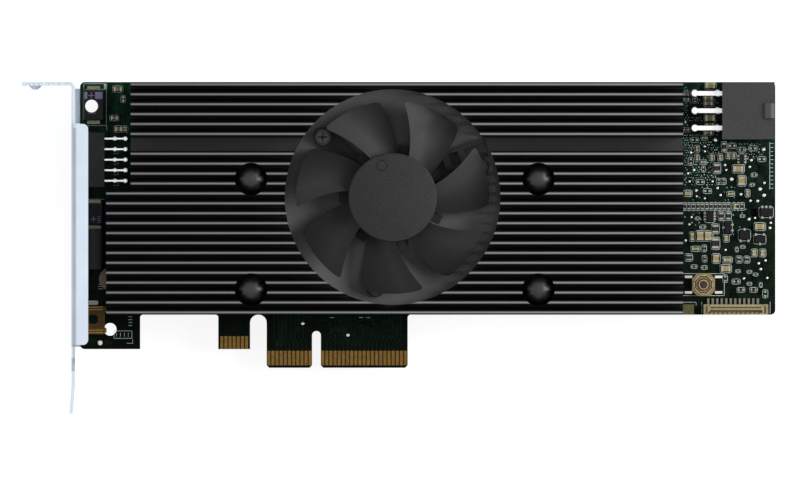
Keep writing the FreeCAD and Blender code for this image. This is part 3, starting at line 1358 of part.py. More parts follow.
def make_tantalum_capacitors():
    """Two moulded capacitors; the board's upper fixing hole runs up through the first."""
    height = size("tantalum_height")
    taper = size("tantalum_taper")
    first_x = size("board_front + tantalum_from_front")
    first_y = size("board_base + tantalum_rise")
    length, width = size("tantalum_length"), size("tantalum_width")
    first = leaning_block((first_x, first_y, 0), (first_x + width, first_y + length, height),
                          taper, taper / 2)
    hole = Part.makeCylinder(size("fixing_radius"), height * 2,
                             FreeCAD.Vector(size("upper_fixing_x"), size("upper_fixing_y"), -height / 2))
    second_x = size("board_front + second_tantalum_from_front")
    second_y = size("board_base + second_tantalum_rise")
    second_length, second_width = size("second_tantalum_length"), size("second_tantalum_width")
    second = leaning_block((second_x, second_y, 0),
                           (second_x + second_width, second_y + second_length, height),
                           taper, taper / 2)
    add_feature("tantalum_bodies", Part.makeCompound([first.cut(hole), second]))
    tongues = []
    reach = size("tantalum_terminal")
    thick = height / 3
    half = size("tantalum_terminal_width") / 2
    for x, y, span, breadth in ((first_x, first_y, length, width),
                                (second_x, second_y, second_length, second_width)):
        middle = x + breadth / 2
        for near, far in ((y - reach, y), (y + span, y + span + reach)):
            tongues.append(block((middle - half, near, 0), (middle + half, far, thick)))
    add_feature("tantalum_terminals", Part.makeCompound(tongues))


def make_front_parts():
    make_tantalum_capacitors()
    choke = new_body("moulded_choke", "board_front + moulded_from_front", "board_base + moulded_rise")
    add_pad(choke, "block", "XY", "0", "moulded_height",
            box_corners("0", "0", "moulded_width", "moulded_length"))
    top = (("0", "0", "moulded_height"), ("moulded_width", "0", "moulded_height"))
    round_edges(choke, "rounded_top", ALONG_Y, top, "moulded_round")
    light = new_body("status_light", "board_front + light_from_front", "board_base + light_rise")
    add_pad(light, "lens", "XY", "0", "light_height",
            box_corners("0", "0", "light_length", "light_width"))
    ends = (("light_length", "0", "0"), ("light_length", "light_width", "0"))
    round_edges(light, "lens_end", ALONG_Z, ends, "light_width / 2 - fit_gap")
    side = new_body("side_connector", "board_front + side_from_front", "board_base + side_rise")
    add_pad(side, "shell", "XY", "0", "side_height",
            box_corners("0", "0", "side_length", "side_width"))
    add_pocket(side, "mouth", "YZ", "0", "side_length - side_contact * 2",
               box_corners("side_contact * 2", "side_contact", "side_width - side_contact * 2",
                           "side_height - side_contact"))
    rounds = (("side_length", "0", "side_height"), ("side_length", "side_width", "side_height"))
    round_edges(side, "shell_round", ALONG_X, rounds, "side_round")
    tongues = new_body("side_contacts", "board_front + side_from_front + side_length",
                       "board_base + side_rise")
    low = box_corners("0", "side_contact", "side_contact", "side_contact * 4")
    high = box_corners("0", "side_width - side_contact * 4", "side_contact",
                       "side_width - side_contact")
    add_pad(tongues, "solder_tongues", "XY", "0", "side_height / 2", low, high)


# ---------------------------------------------------------------- small parts on the far strip

def strip_place(from_back, rise):
    return size("board_back") - from_back, size("board_base") + rise


def ended_part(x, y, along_x, along_y, height):
    """The body and the two end caps of a small ended part."""
    proud = size("capacitor_end_proud")
    half_x, half_y = along_x / 2, along_y / 2
    cap = max(along_x, along_y) * CAPACITOR_END_SHARE
    if along_x > along_y:
        body = block((x - half_x + cap, y - half_y, 0), (x + half_x - cap, y + half_y, height))
        spans = ((-half_x, cap - half_x), (half_x - cap, half_x))
        ends = [block((x + low, y - half_y - proud, 0), (x + high, y + half_y + proud, height + proud))
                for low, high in spans]
    else:
        body = block((x - half_x, y - half_y + cap, 0), (x + half_x, y + half_y - cap, height))
        spans = ((-half_y, cap - half_y), (half_y - cap, half_y))
        ends = [block((x - half_x - proud, y + low, 0), (x + half_x + proud, y + high, height + proud))
                for low, high in spans]
    return body, ends


def make_ended_parts(name, end_name, places):
    bodies = []
    ends = []
    for place_and_size in places:
        body, caps = ended_part(*place_and_size)
        bodies.append(body)
        ends += caps
    add_feature(name, Part.makeCompound(bodies))
    add_feature(end_name, Part.makeCompound(ends))


def make_passives():
    capacitors = [(*strip_place(back, rise), *sizes) for back, rise, *sizes in CERAMIC_CAPACITORS]
    for front, rise, *sizes in FRONT_CAPACITORS:
        capacitors.append((size("board_front") + front, size("board_base") + rise, *sizes))
    make_ended_parts("ceramic_capacitors", "capacitor_ends", capacitors)
    resistors = [(*strip_place(back, rise), *sizes) for back, rise, *sizes in RESISTORS]
    for step in range(RESISTOR_ROW_COUNT):
        if step == RESISTOR_ROW_SKIPPED:
            continue
        back = RESISTOR_ROW_START - step * RESISTOR_ROW_PITCH
        resistors.append((*strip_place(back, RESISTOR_ROW_RISE), *RESISTOR_ROW_SIZE))
    make_ended_parts("resistors", "resistor_ends", resistors)


def package_leads(x, y, along_x, along_y, low_count, high_count, along_y_leads):
    """Flat feet along two opposite sides of a small package."""
    feet = []
    thick = size("lead_thickness") * 2
    pitch = LEAD_PITCH if along_y_leads else CLOSE_LEAD_PITCH
    half_width = (LEAD_WIDTH if along_y_leads else CLOSE_LEAD_WIDTH) / 2
    reach = (along_y if along_y_leads else along_x) / 2
    for side, count in ((-1, low_count), (1, high_count)):
        near, far = sorted((side * reach, side * (reach + LEAD_REACH)))
        spacing = pitch * (2 if count == 2 else 1)
        for step in range(count):
            shift = (step - (count - 1) / 2) * spacing
            if along_y_leads:
                feet.append(block((x + shift - half_width, y + near, 0),
                                  (x + shift + half_width, y + far, thick)))
            else:
                feet.append(block((x + near, y + shift - half_width, 0),
                                  (x + far, y + shift + half_width, thick)))
    return feet


def make_packages():
    bodies = []
    feet = []
    low = size("package_lift")
    high = size("package_height")
    draft = size("package_draft")
    for back, rise, along_x, along_y, low_count, high_count, along_y_leads in PACKAGES:
        x, y = strip_place(back, rise)
        half_x, half_y = along_x / 2, along_y / 2
        bodies.append(leaning_block((x - half_x, y - half_y, low), (x + half_x, y + half_y, high),
                                    draft, draft))
        feet += package_leads(x, y, along_x, along_y, low_count, high_count, along_y_leads)
    add_feature("small_packages", Part.makeCompound(bodies))
    add_feature("package_leads", Part.makeCompound(feet))


def make_oscillator():
    body = new_body("oscillator", "board_back - oscillator_from_right", "board_base")
    add_pad(body, "can", "XY", "0", "oscillator_height",
            box_corners("0", "0", "oscillator_length", "oscillator_width"))


# ---------------------------------------------------------------- whole card

def check_and_write():
    """Stops on any failed object, empty cut or broken solid, then writes one file a sub-part."""
    for item in document.Objects:
        if "Invalid" in item.State or "Error" in item.State:
            raise RuntimeError("failed object: " + item.Name)
        if item.TypeId in ("PartDesign::Pocket", "PartDesign::Groove"):
            if item.Shape.Volume > item.BaseFeature.Shape.Volume - LEAST_CUT:
                raise RuntimeError("cut removes nothing: " + item.Name)
    os.makedirs("parts", exist_ok=True)
    for item in parts_made:
        if item.Shape.isNull() or not item.Shape.isValid() or not item.Shape.Solids:
            raise RuntimeError("broken shape: " + item.Label)
    for item in parts_made:
        item.Shape.exportStep("parts/%s.step" % item.Label)


fill_sheet()
make_circuit_board()
make_edge_contacts()
make_bracket()
make_heatsink()
make_heatsink_screws()
make_heatsink_nuts()
make_hidden_chips()
make_fan_base()
make_fan_screws()
make_fan_core()
make_fan_impeller()
make_rotor_parts()
make_power_housing()
make_power_pins()
make_header()
make_wire_connector()
make_switch()
make_front_parts()
make_passives()
make_packages()
make_oscillator()
document.recompute()
check_and_write()
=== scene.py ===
"""Looks, light and camera for a low-profile accelerator card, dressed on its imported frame."""

import functools
import json
import logging
import math
import random
from dataclasses import dataclass, field
from enum import Enum
from typing import Iterable, Optional, Sequence

import bmesh
import bpy
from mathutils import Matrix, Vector


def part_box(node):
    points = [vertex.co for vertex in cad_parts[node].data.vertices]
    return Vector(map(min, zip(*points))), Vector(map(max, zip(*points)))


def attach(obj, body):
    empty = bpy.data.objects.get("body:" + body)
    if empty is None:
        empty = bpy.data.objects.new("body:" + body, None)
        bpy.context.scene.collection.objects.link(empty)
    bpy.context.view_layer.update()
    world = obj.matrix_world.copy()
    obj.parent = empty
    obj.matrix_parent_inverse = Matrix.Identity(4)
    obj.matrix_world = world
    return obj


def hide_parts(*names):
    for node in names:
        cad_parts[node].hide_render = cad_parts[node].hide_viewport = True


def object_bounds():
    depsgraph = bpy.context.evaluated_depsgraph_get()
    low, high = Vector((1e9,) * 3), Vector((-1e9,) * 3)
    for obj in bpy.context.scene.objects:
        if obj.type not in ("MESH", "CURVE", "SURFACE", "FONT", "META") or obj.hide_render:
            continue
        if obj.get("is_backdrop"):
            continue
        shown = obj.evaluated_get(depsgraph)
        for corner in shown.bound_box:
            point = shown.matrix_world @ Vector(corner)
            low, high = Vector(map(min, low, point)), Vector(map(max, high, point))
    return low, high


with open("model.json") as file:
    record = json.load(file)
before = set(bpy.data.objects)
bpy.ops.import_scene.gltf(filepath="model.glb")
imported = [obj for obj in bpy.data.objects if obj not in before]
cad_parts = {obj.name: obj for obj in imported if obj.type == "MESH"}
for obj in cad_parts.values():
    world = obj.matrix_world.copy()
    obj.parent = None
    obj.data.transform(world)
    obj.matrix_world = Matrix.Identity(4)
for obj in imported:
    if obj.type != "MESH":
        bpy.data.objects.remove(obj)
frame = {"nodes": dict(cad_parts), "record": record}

MM = 0.001
SEED = 11
SOFT_EDGE = 0.1 * MM
LET_IN = 0.02 * MM
SHARP_ANGLE = math.radians(40)
NOISE_SPAN = (0.3, 0.7)

Colour = tuple[float, float, float]
Spot = tuple[float, float]
Socket = bpy.types.NodeSocket
Pieces = list[bpy.types.Object]
log = logging.getLogger("accelerator_card")


class Body(Enum):
    """The moving groups that a piece can ride on."""

    CARD = "card"
    ROTOR = "rotor"
    BUTTON = "button"


class Axis(Enum):
    """Directions along which a finish can be brushed."""

    X = 0
    Y = 1
    Z = 2


def shade(red: int, green: int, blue: int) -> Colour:
    """Turns a colour as the eye reads it, 0 to 255, into linear light.

    Args:
        red: Red, 0 to 255.
        green: Green, 0 to 255.
        blue: Blue, 0 to 255.

    Returns:
        The three shares of light that a shader takes.
    """
    def linear(level: int) -> float:
        """Undoes the display curve for one channel."""
        share = level / 255
        return share / 12.92 if share <= 0.04045 else ((share + 0.055) / 1.055) ** 2.4

    return linear(red), linear(green), linear(blue)


# ------------------------------------------------------------------ places, read from the frame


@dataclass(frozen=True)
class Box:
    """An upright box in the card's own frame, in metres."""

    low: Vector
    high: Vector

    @property
    def centre(self) -> Vector:
        """The middle of the box."""
        return (self.low + self.high) / 2

    @property
    def size(self) -> Vector:
        """The box's length along each axis."""
        return self.high - self.low

    def grown(self, side: float) -> "Box":
        """Returns the box with its four sides moved out by a distance."""
        shift = Vector((side, side, 0))
        return Box(self.low - shift, self.high + shift)

    def outline(self, cut: float = 0.0) -> list[Spot]:
        """Walks round the box as seen from above.

        Args:
            cut: How much is cut off each corner.

        Returns:
            The corners in order, counter-clockwise.
        """
        x0, y0, x1, y1 = self.low.x, self.low.y, self.high.x, self.high.y
        if cut <= 0:
            return [(x0, y0), (x1, y0), (x1, y1), (x0, y1)]
        return [(x0 + cut, y0), (x1 - cut, y0), (x1, y0 + cut), (x1, y1 - cut),
                (x1 - cut, y1), (x0 + cut, y1), (x0, y1 - cut), (x0, y0 + cut)]

    def holds(self, x: float, y: float, margin: float = 0.0) -> bool:
        """Says whether a spot is inside the box as seen from above.

        Args:
            x: The spot's X.
            y: The spot's Y.
            margin: How far inside it has to be; a negative one lets it be outside.

        Returns:
            True if it is.
        """
        return (self.low.x + margin <= x <= self.high.x - margin
                and self.low.y + margin <= y <= self.high.y - margin)


def flat_box(x0: float, y0: float, x1: float, y1: float) -> Box:
    """Returns a box without height between two corners."""
    return Box(Vector((x0, y0, 0)), Vector((x1, y1, 0)))


def spots_from(corner: Vector, *offsets: Spot) -> list[Spot]:
    """Returns spots that are given in millimetres from a corner."""
    return [(corner.x + x * MM, corner.y + y * MM) for x, y in offsets]


def node_box(node: str) -> Box:
    """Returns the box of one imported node."""
    return Box(*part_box(node))


def loose_boxes(*nodes: str, weld: float = 0.01 * MM) -> list[Box]:
    """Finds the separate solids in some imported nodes.

    Args:
        nodes: The nodes' names.
        weld: Corners nearer than this count as one, so that touching solids join.

    Returns:
        One box for each separate solid, sorted by place.
    """
    mesh = bmesh.new()
    for node in nodes:
        mesh.from_mesh(frame["nodes"][node].data)
    bmesh.ops.remove_doubles(mesh, verts=mesh.verts, dist=weld)
    unseen = set(mesh.verts)
    found = []
    while unseen:
        group, edge_of_group = [], [unseen.pop()]
        while edge_of_group:
            corner = edge_of_group.pop()
            group.append(corner.co.copy())
            for edge in corner.link_edges:
                other = edge.other_vert(corner)
                if other in unseen:
                    unseen.discard(other)
                    edge_of_group.append(other)
        low = Vector([min(place[axis] for place in group) for axis in range(3)])
        high = Vector([max(place[axis] for place in group) for axis in range(3)])
        found.append(Box(low, high))
    mesh.free()
    return sorted(found, key=lambda box: [round(number, 6) for number in (
        box.low.y, box.low.x, box.low.z, box.high.y, box.high.x, box.high.z)])


def mount_place(name: str) -> Vector:
    """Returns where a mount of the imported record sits."""
    return next(Vector(mount["pos_m"]) for mount in frame["record"]["mounts"]
                if mount["name"] == name)


# ------------------------------------------------------------------ finishes


class Recipe:
    """The nodes of one material or world, added and joined in order."""

    def __init__(self, owner: bpy.types.ID, output: str = "ShaderNodeOutputMaterial") -> None:
        """Starts with nothing but the output.

        Args:
            owner: The material or world that the nodes belong to.
            output: The output node's Blender type.
        """
        owner.use_nodes = True
        self.owner = owner
        self.tree = owner.node_tree
        self.tree.nodes.clear()
        self.output = self.add(output)

    @functools.cached_property
    def place(self) -> Socket:
        """The spot on the piece, in the card's own frame."""
        return self.add("ShaderNodeTexCoord").outputs["Object"]

    def add(self, kind: str, settings: Optional[dict] = None, **sockets: object) -> bpy.types.Node:
        """Adds a node.

        Args:
            kind: The node's Blender type.
            settings: Attributes to set on it.
            sockets: Inputs by name, with _ for a space; each is a value or another node's output.

        Returns:
            The new node.
        """
        node = self.tree.nodes.new(kind)
        for name, value in (settings or {}).items():
            setattr(node, name, value)
        for name, value in sockets.items():
            self.feed(node.inputs[name.replace("_", " ")], value)
        return node

    def feed(self, socket: Socket, value: object) -> None:
        """Joins a socket to another node's output, or sets its own value.

        Args:
            socket: The socket.
            value: A value or another node's output.
        """
        if isinstance(value, Socket):
            self.tree.links.new(value, socket)
        else:
            socket.default_value = value

    def sum(self, kind: str, first: object, second: object = 0.0) -> Socket:
        """Does one sum on two numbers.

        Args:
            kind: The operation, such as MULTIPLY.
            first: A number or an output.
            second: A number or an output.

        Returns:
            The result.
        """
        node = self.add("ShaderNodeMath", {"operation": kind})
        self.feed(node.inputs[0], first)
        self.feed(node.inputs[1], second)
        return node.outputs[0]

    def times(self, first: object, *others: object) -> Socket:
        """Multiplies numbers or outputs, from the first on."""
        return functools.reduce(functools.partial(self.sum, "MULTIPLY"), others, first)

    def blend(self, share: object, first: object, second: object) -> Socket:
        """Mixes two colours.

        Args:
            share: How much of the second there is.
            first: A colour or an output.
            second: A colour or an output.

        Returns:
            The mixed colour.
        """
        node = self.add("ShaderNodeMix", {"data_type": "RGBA"})
        for socket, value in ((node.inputs[0], share), (node.inputs[6], first),
                              (node.inputs[7], second)):
            self.feed(socket, (*value, 1.0) if isinstance(value, tuple) else value)
        return node.outputs[2]

    def spread(self, value: object, low: float, high: float, to_low: float = 0.0,
               to_high: float = 1.0) -> Socket:
        """Stretches a range of numbers onto another, and stops at its ends.

        Args:
            value: The number or output to stretch.
            low: The low end of its range.
            high: The high end of its range.
            to_low: What the low end becomes.
            to_high: What the high end becomes.

        Returns:
            The stretched number.
        """
        node = self.add("ShaderNodeMapRange", Value=value)
        for name, number in (("From Min", low), ("From Max", high), ("To Min", to_low),
                             ("To Max", to_high)):
            node.inputs[name].default_value = number
        return node.outputs[0]

    def fall(self, value: object, low: float, high: float) -> Socket:
        """Returns 1 below a range of numbers, 0 above it and a slope between."""
        return self.spread(value, low, high, 1.0, 0.0)

    def noise(self, size: float, detail: float = 3.0, stretch: Optional[Axis] = None,
              pull: float = 40.0) -> Socket:
        """Soft random numbers over the piece.

        Args:
            size: How wide one patch is, in metres.
            detail: How many finer layers are added.
            stretch: The axis along which patches are drawn out into streaks.
            pull: How many times longer a streak is than it is wide.

        Returns:
            A number from 0 to 1.
        """
        scale = Vector((1, 1, 1))
        if stretch is not None:
            scale[stretch.value] = 1 / pull
        mapping = self.add("ShaderNodeMapping", Vector=self.place)
        mapping.inputs["Scale"].default_value = scale
        noise = self.add("ShaderNodeTexNoise", Vector=mapping.outputs[0], Scale=1 / size,
                         Detail=detail)
        return noise.outputs[0]

    def axis(self, axis: Axis) -> Socket:
        """Returns the place along one axis, in metres."""
        return self.add("ShaderNodeSeparateXYZ", Vector=self.place).outputs[axis.value]

    def band(self, axis: Axis, low: float, high: float, soft: float) -> Socket:
        """Marks the stretch between two places along an axis.

        Args:
            axis: The axis.
            low: Where the stretch starts.
            high: Where it ends.
            soft: How wide its soft edge is.

        Returns:
            1 inside and 0 outside.
        """
        along = self.axis(axis)
        rises = self.spread(along, low - soft / 2, low + soft / 2)
        return self.times(rises, self.fall(along, high - soft / 2, high + soft / 2))

    def seen(self) -> Socket:
        """Marks rays from the camera, off glossy faces and through clear ones.

        Returns:
            1 for such a ray and 0 for one that only lights the card.
        """
        rays = self.add("ShaderNodeLightPath").outputs
        direct = self.sum("MAXIMUM", rays["Is Camera Ray"], rays["Is Glossy Ray"])
        return self.sum("MAXIMUM", direct, rays["Is Transmission Ray"])

    def join(self, kind: str, first: bpy.types.Node, second: bpy.types.Node,
             **sockets: object) -> bpy.types.Node:
        """Joins two shaders with a node that takes them as its last two inputs.

        Args:
            kind: The node's Blender type.
            first: The first shader's node.
            second: The second shader's node.
            sockets: Its other inputs, by name.

        Returns:
            The new node.
        """
        node = self.add(kind, **sockets)
        for socket, shader in zip(node.inputs[-2:], (first, second)):
            self.feed(socket, shader.outputs[0])
        return node

    def close(self, shader: bpy.types.Node) -> None:
        """Joins the last shader to the output."""
        self.feed(self.output.inputs["Surface"], shader.outputs[0])


@dataclass(frozen=True)
class Finish:
    """A surface with drifting colour, uneven gloss and fine relief."""

    name: str
    colour: Colour
    roughness: float = 0.5
    metallic: float = 0.0
    drift: float = 0.12
    drift_size: float = 3 * MM
    relief: float = 0.008 * MM
    relief_size: float = 0.25 * MM
    gloss_drift: float = 0.08
    specular: float = 0.5
    coat: float = 0.0

    @functools.cache
    def make(self) -> bpy.types.Material:
        """Builds the material once and returns the same one every time.

        Returns:
            The material.
        """
        recipe = Recipe(bpy.data.materials.new(self.name + "_finish"))
        shader = recipe.add("ShaderNodeBsdfPrincipled", Metallic=self.metallic,
                            Base_Color=self.paint(recipe), Roughness=self.gloss(recipe),
                            Normal=self.bump(recipe), Specular_IOR_Level=self.specular,
                            Coat_Weight=self.coat, Coat_Roughness=0.15)
        recipe.close(shader)
        return recipe.owner

    def tone(self, factor: float, colour: Optional[Colour] = None) -> Colour:
        """Returns a lighter or darker tone of the colour, with no channel over 1."""
        base = colour or self.colour
        return tuple(min(1.0, channel * factor) for channel in base)

    def mottle(self, recipe: Recipe, share: Socket, depth: float) -> Socket:
        """Blends a darker and a lighter tone of the colour, each off by the depth."""
        return recipe.blend(share, self.tone(1 - depth), self.tone(1 + depth))

    def paint(self, recipe: Recipe) -> Socket:
        """Colour that drifts gently between a darker and a lighter tone."""
        patches = recipe.spread(recipe.noise(self.drift_size), *NOISE_SPAN)
        return self.mottle(recipe, patches, self.drift)

    def gloss(self, recipe: Recipe) -> Socket:
        """Roughness that wanders about its usual value.

        Args:
            recipe: The material being made.

        Returns:
            The roughness.
        """
        return recipe.spread(recipe.noise(self.drift_size * 0.7), *NOISE_SPAN,
                             max(0.02, self.roughness - self.gloss_drift),
                             min(1.0, self.roughness + self.gloss_drift))

    def bump(self, recipe: Recipe) -> Socket:
        """Fine moulded or blasted grain.

        Args:
            recipe: The material being made.

        Returns:
            The direction that the face seems to look in.
        """
        grain = recipe.noise(self.relief_size, 4.0)
        return recipe.add("ShaderNodeBump", Height=grain, Distance=self.relief,
                          Strength=0.6).outputs[0]


@dataclass(frozen=True)
class Brushed(Finish):
    """Metal with fine streaks along one axis."""

    along: Axis = Axis.Y
    streak: float = 0.05 * MM

    def bump(self, recipe: Recipe) -> Socket:
        """Long fine scratches.

        Args:
            recipe: The material being made.

        Returns:
            The direction that the face seems to look in.
        """
        lines = recipe.noise(self.streak, 2.0, self.along)
        return recipe.add("ShaderNodeBump", Height=lines, Distance=self.relief,
                          Strength=0.5).outputs[0]


@dataclass(frozen=True)
class Plated(Brushed):
    """Plated sheet with painted shade round its long fold and darker dashes on its tab."""

    fold_low: float = 0.0
    fold_high: float = 0.0
    fold_end: float = 0.0
    edge_from: float = 0.0
    edge_soft: float = 0.05 * MM
    dash_size: float = 0.6 * MM
    dash_span: Spot = (0.5, 0.56)
    dash_share: float = 0.6
    fold_depth: Spot = (2 * MM, 1.5 * MM)
    # Darker tone for the tab's dashes and for the painted shade along the fold.
    dash_and_fold_shade: Colour = shade(178, 187, 197)

    def paint(self, recipe: Recipe) -> Socket:
        """The plating's colour, with painted shade along the fold and darker dashes on the tab.

        Args:
            recipe: The material being made.

        Returns:
            The colour.
        """
        base = Brushed.paint(self, recipe)
        height, across = recipe.axis(Axis.Z), recipe.axis(Axis.X)
        above = recipe.spread(height, self.edge_from - self.edge_soft, self.edge_from)
        tab = recipe.fall(across, self.fold_low - SOFT_EDGE, self.fold_low)
        dashes = recipe.spread(recipe.noise(self.dash_size, 2.0), *self.dash_span, 0.0,
                               self.dash_share)
        with_dashes = recipe.blend(recipe.times(above, tab, dashes), base, self.dash_and_fold_shade)
        # Painted shade along the fold, where the sheet bends away from the light.
        fold = recipe.band(Axis.X, self.fold_low, self.fold_high, SOFT_EDGE)
        beside = recipe.fall(recipe.axis(Axis.Y), self.fold_end, self.fold_end + SOFT_EDGE)
        high = recipe.spread(height, *(self.edge_from - depth for depth in self.fold_depth))
        return recipe.blend(recipe.times(fold, beside, high), with_dashes, self.dash_and_fold_shade)


@dataclass(frozen=True)
class Anodised(Finish):
    """Black anodised block: painted highlight lines on its fin crowns, paler towards the far end
    as painted light, painted glints in its grooves, greyer pocket and channel floors.
    """

    # Painted highlight for light on the rounded fin crowns; paler at the far end, where the
    # painted light is stronger.
    crown: Colour = shade(138, 138, 140)
    crown_highlight_far: Colour = shade(152, 152, 154)
    pocket: Colour = shade(106, 106, 108)
    channel: Colour = shade(58, 58, 60)
    # Painted glint, a painted reflection along the middle of each groove floor.
    glint: Colour = shade(30, 30, 32)
    low: Vector = Vector().freeze()
    high: Vector = Vector().freeze()
    pocket_middle: Vector = Vector().freeze()
    pocket_radius: float = 26.3 * MM
    pocket_top: float = 5.4 * MM
    floor_top: float = 6.6 * MM
    channel_low: float = 0.0
    channel_high: float = 0.0
    pitch: float = 2.391 * MM
    edge_to_fin: float = 0.55 * MM
    line_core: float = 0.03 * MM
    line_edge: float = 0.34 * MM

    rim_from: float = 0.999
    duct_dark: float = 0.85
    pocket_dark: float = 0.82
    floor_light: float = 1.2
    patch_pull: float = 6.0
    highlight_streak_pull: float = 60.0
    glint_drop: float = 0.9 * MM
    glint_span: Spot = (0.1 * MM, 0.3 * MM)
    highlight_streak_size: float = 0.2 * MM
    grain_size: float = 0.25 * MM

    def off_line(self, recipe: Recipe, start: float) -> Socket:
        """Measures how far a spot is from the nearest of the lines that repeat with the fins.

        Args:
            recipe: The material being made.
            start: Where the highest line lies along Y.

        Returns:
            The distance, in metres.
        """
        turns = recipe.sum("DIVIDE", recipe.sum("SUBTRACT", start, recipe.axis(Axis.Y)),
                           self.pitch)
        nearest = recipe.sum("SUBTRACT", turns, recipe.sum("ROUND", turns))
        return recipe.times(recipe.sum("ABSOLUTE", nearest), self.pitch)

    def in_pocket(self, recipe: Recipe) -> Socket:
        """Marks the round pocket as seen from above.

        Args:
            recipe: The material being made.

        Returns:
            1 inside it and 0 outside.
        """
        squares = []
        for axis, middle in ((Axis.X, self.pocket_middle.x), (Axis.Y, self.pocket_middle.y)):
            away = recipe.sum("SUBTRACT", recipe.axis(axis), middle)
            squares.append(recipe.times(away, away))
        rim = self.pocket_radius ** 2
        return recipe.fall(recipe.sum("ADD", *squares), rim * self.rim_from, rim)

    def floors(self, recipe: Recipe, height: Socket) -> Socket:
        """Black with paler floors: glints in the grooves, then the duct, then the pocket.

        Args:
            recipe: The material being made.
            height: How high the spot is.

        Returns:
            The colour.
        """
        patches = recipe.spread(recipe.noise(self.drift_size, 5.0, Axis.X, self.patch_pull),
                                *NOISE_SPAN)
        paint = self.mottle(recipe, patches, self.drift)
        below = recipe.fall(height, self.floor_top, self.floor_top + SOFT_EDGE)
        deep = recipe.fall(height, self.pocket_top, self.pocket_top + SOFT_EDGE)
        # Painted reflection: a faint glint line along each groove floor.
        glints = recipe.fall(self.off_line(recipe, self.fin_line - self.glint_drop),
                             *self.glint_span)
        paint = recipe.blend(recipe.times(glints, below), paint, self.glint)
        grain = recipe.spread(recipe.noise(self.grain_size, 2.0), *NOISE_SPAN)
        duct = recipe.band(Axis.Y, self.channel_low, self.channel_high, SOFT_EDGE)
        for colour, dark, inside, depth in (
                (self.channel, self.duct_dark, duct, below),
                (self.pocket, self.pocket_dark, self.in_pocket(recipe), deep)):
            floor = recipe.blend(grain, self.tone(dark, colour),
                                 self.tone(self.floor_light, colour))
            paint = recipe.blend(recipe.times(inside, depth), paint, floor)
        return paint

    @property
    def fin_line(self) -> float:
        """Where the crown of the highest fin lies along Y."""
        return self.high.y - self.edge_to_fin

    def paint(self, recipe: Recipe) -> Socket:
        """Black, with a painted highlight along the fin crowns, and paler on the open floors.

        Args:
            recipe: The material being made.

        Returns:
            The colour.
        """
        height = recipe.axis(Axis.Z)
        # Painted highlight: a narrow line along each fin crown, paler towards the far end as
        # painted light, with random streaks.
        crown_highlight_tone = recipe.blend(recipe.spread(recipe.axis(Axis.X), self.low.x, self.high.x),
                            self.crown, self.crown_highlight_far)
        line = recipe.fall(self.off_line(recipe, self.fin_line), self.line_core, self.line_edge)
        top = recipe.spread(height, self.high.z - 2 * SOFT_EDGE, self.high.z - SOFT_EDGE)
        highlight_streaks = recipe.spread(recipe.noise(self.highlight_streak_size, 3.0, Axis.X, self.highlight_streak_pull),
                               0.2, 0.8, 0.85, 1.0)
        return recipe.blend(recipe.times(line, top, highlight_streaks), self.floors(recipe, height), crown_highlight_tone)


@dataclass(frozen=True)
class SolderMask(Finish):
    """Lacquer over glass weave, with darker copper fields under it."""

    copper: Colour = shade(3, 8, 5)
    far_base: Colour = shade(21, 27, 20)
    bright: Colour = shade(25, 70, 44)
    cool: Colour = shade(29, 52, 44)
    weave_size: float = 1.2 * MM
    weave_share: float = 0.12
    thread_light: float = 2.2
    field_size: float = 2.6 * MM
    field_span: Spot = (0.46, 0.54)
    field_share: float = 0.5
    bright_from: float = 0.0
    bright_to: float = 1.0
    cool_from: float = 0.0
    cool_to: float = 1.0

    def paint(self, recipe: Recipe) -> Socket:
        """Green that is darker over copper fields and livelier towards the high end.

        Args:
            recipe: The material being made.

        Returns:
            The colour.
        """
        weave = recipe.add("ShaderNodeTexWave", Vector=recipe.place, Scale=1 / self.weave_size,
                           Distortion=0.6)
        fields = recipe.spread(recipe.noise(self.field_size, 1.0), *self.field_span)
        rise = recipe.spread(recipe.axis(Axis.Y), self.bright_from, self.bright_to)
        far = recipe.spread(recipe.axis(Axis.X), self.cool_from, self.cool_to)
        lively = recipe.blend(far, self.bright, self.cool)
        green = recipe.blend(rise, recipe.blend(far, self.colour, self.far_base), lively)
        threads = recipe.spread(weave.outputs["Fac"], 0, 1, 0.0, self.weave_share)
        woven = recipe.blend(threads, green, self.tone(self.thread_light))
        return recipe.blend(recipe.times(fields, self.field_share), woven, self.copper)


@dataclass(frozen=True)
class Worn(Finish):
    """Plating with faint marks from use."""

    mark: Colour = shade(84, 60, 24)
    smear_size: float = 0.5 * MM
    smear_pull: float = 3.0
    smear_span: Spot = (0.55, 0.75)
    smear_share: float = 0.6

    def paint(self, recipe: Recipe) -> Socket:
        """The plating's colour with darker specks and smears.

        Args:
            recipe: The material being made.

        Returns:
            The colour.
        """
        base = Finish.paint(self, recipe)
        smears = recipe.noise(self.smear_size, 5.0, Axis.Y, self.smear_pull)
        share = recipe.spread(smears, *self.smear_span, 0.0, self.smear_share)
        return recipe.blend(share, base, self.mark)


@dataclass(frozen=True)
class Speckled(Finish):
    """Spark-eroded moulded plastic with fine light and dark specks."""

    speck: float = 0.35
    speck_size: float = 0.34 * MM
    speck_span: Spot = (0.38, 0.62)
    speck_share: float = 0.75

    def paint(self, recipe: Recipe) -> Socket:
        """Fine specks over a gentle drift.

        Args:
            recipe: The material being made.

        Returns:
            The colour.
        """
        base = Finish.paint(self, recipe)
        specks = recipe.spread(recipe.noise(self.speck_size, 2.0), *self.speck_span)
        return recipe.blend(self.speck_share, base, self.mottle(recipe, specks, self.speck))


@dataclass(frozen=True)
class Raised(Speckled):
    """Moulded plastic whose raised part is painted paler, as a painted highlight."""

    from_height: float = 10.6 * MM
    raised: Colour = shade(98, 98, 99)

    def paint(self, recipe: Recipe) -> Socket:
        """Specks, with a paler tone above a height, as a painted highlight.

        Args:
            recipe: The material being made.

        Returns:
            The colour.
        """
        base = Speckled.paint(self, recipe)
        # Painted highlight: a paler tone on the raised latch.
        high = recipe.spread(recipe.axis(Axis.Z), self.from_height,
                             self.from_height + 2 * SOFT_EDGE)
        return recipe.blend(high, base, self.raised)


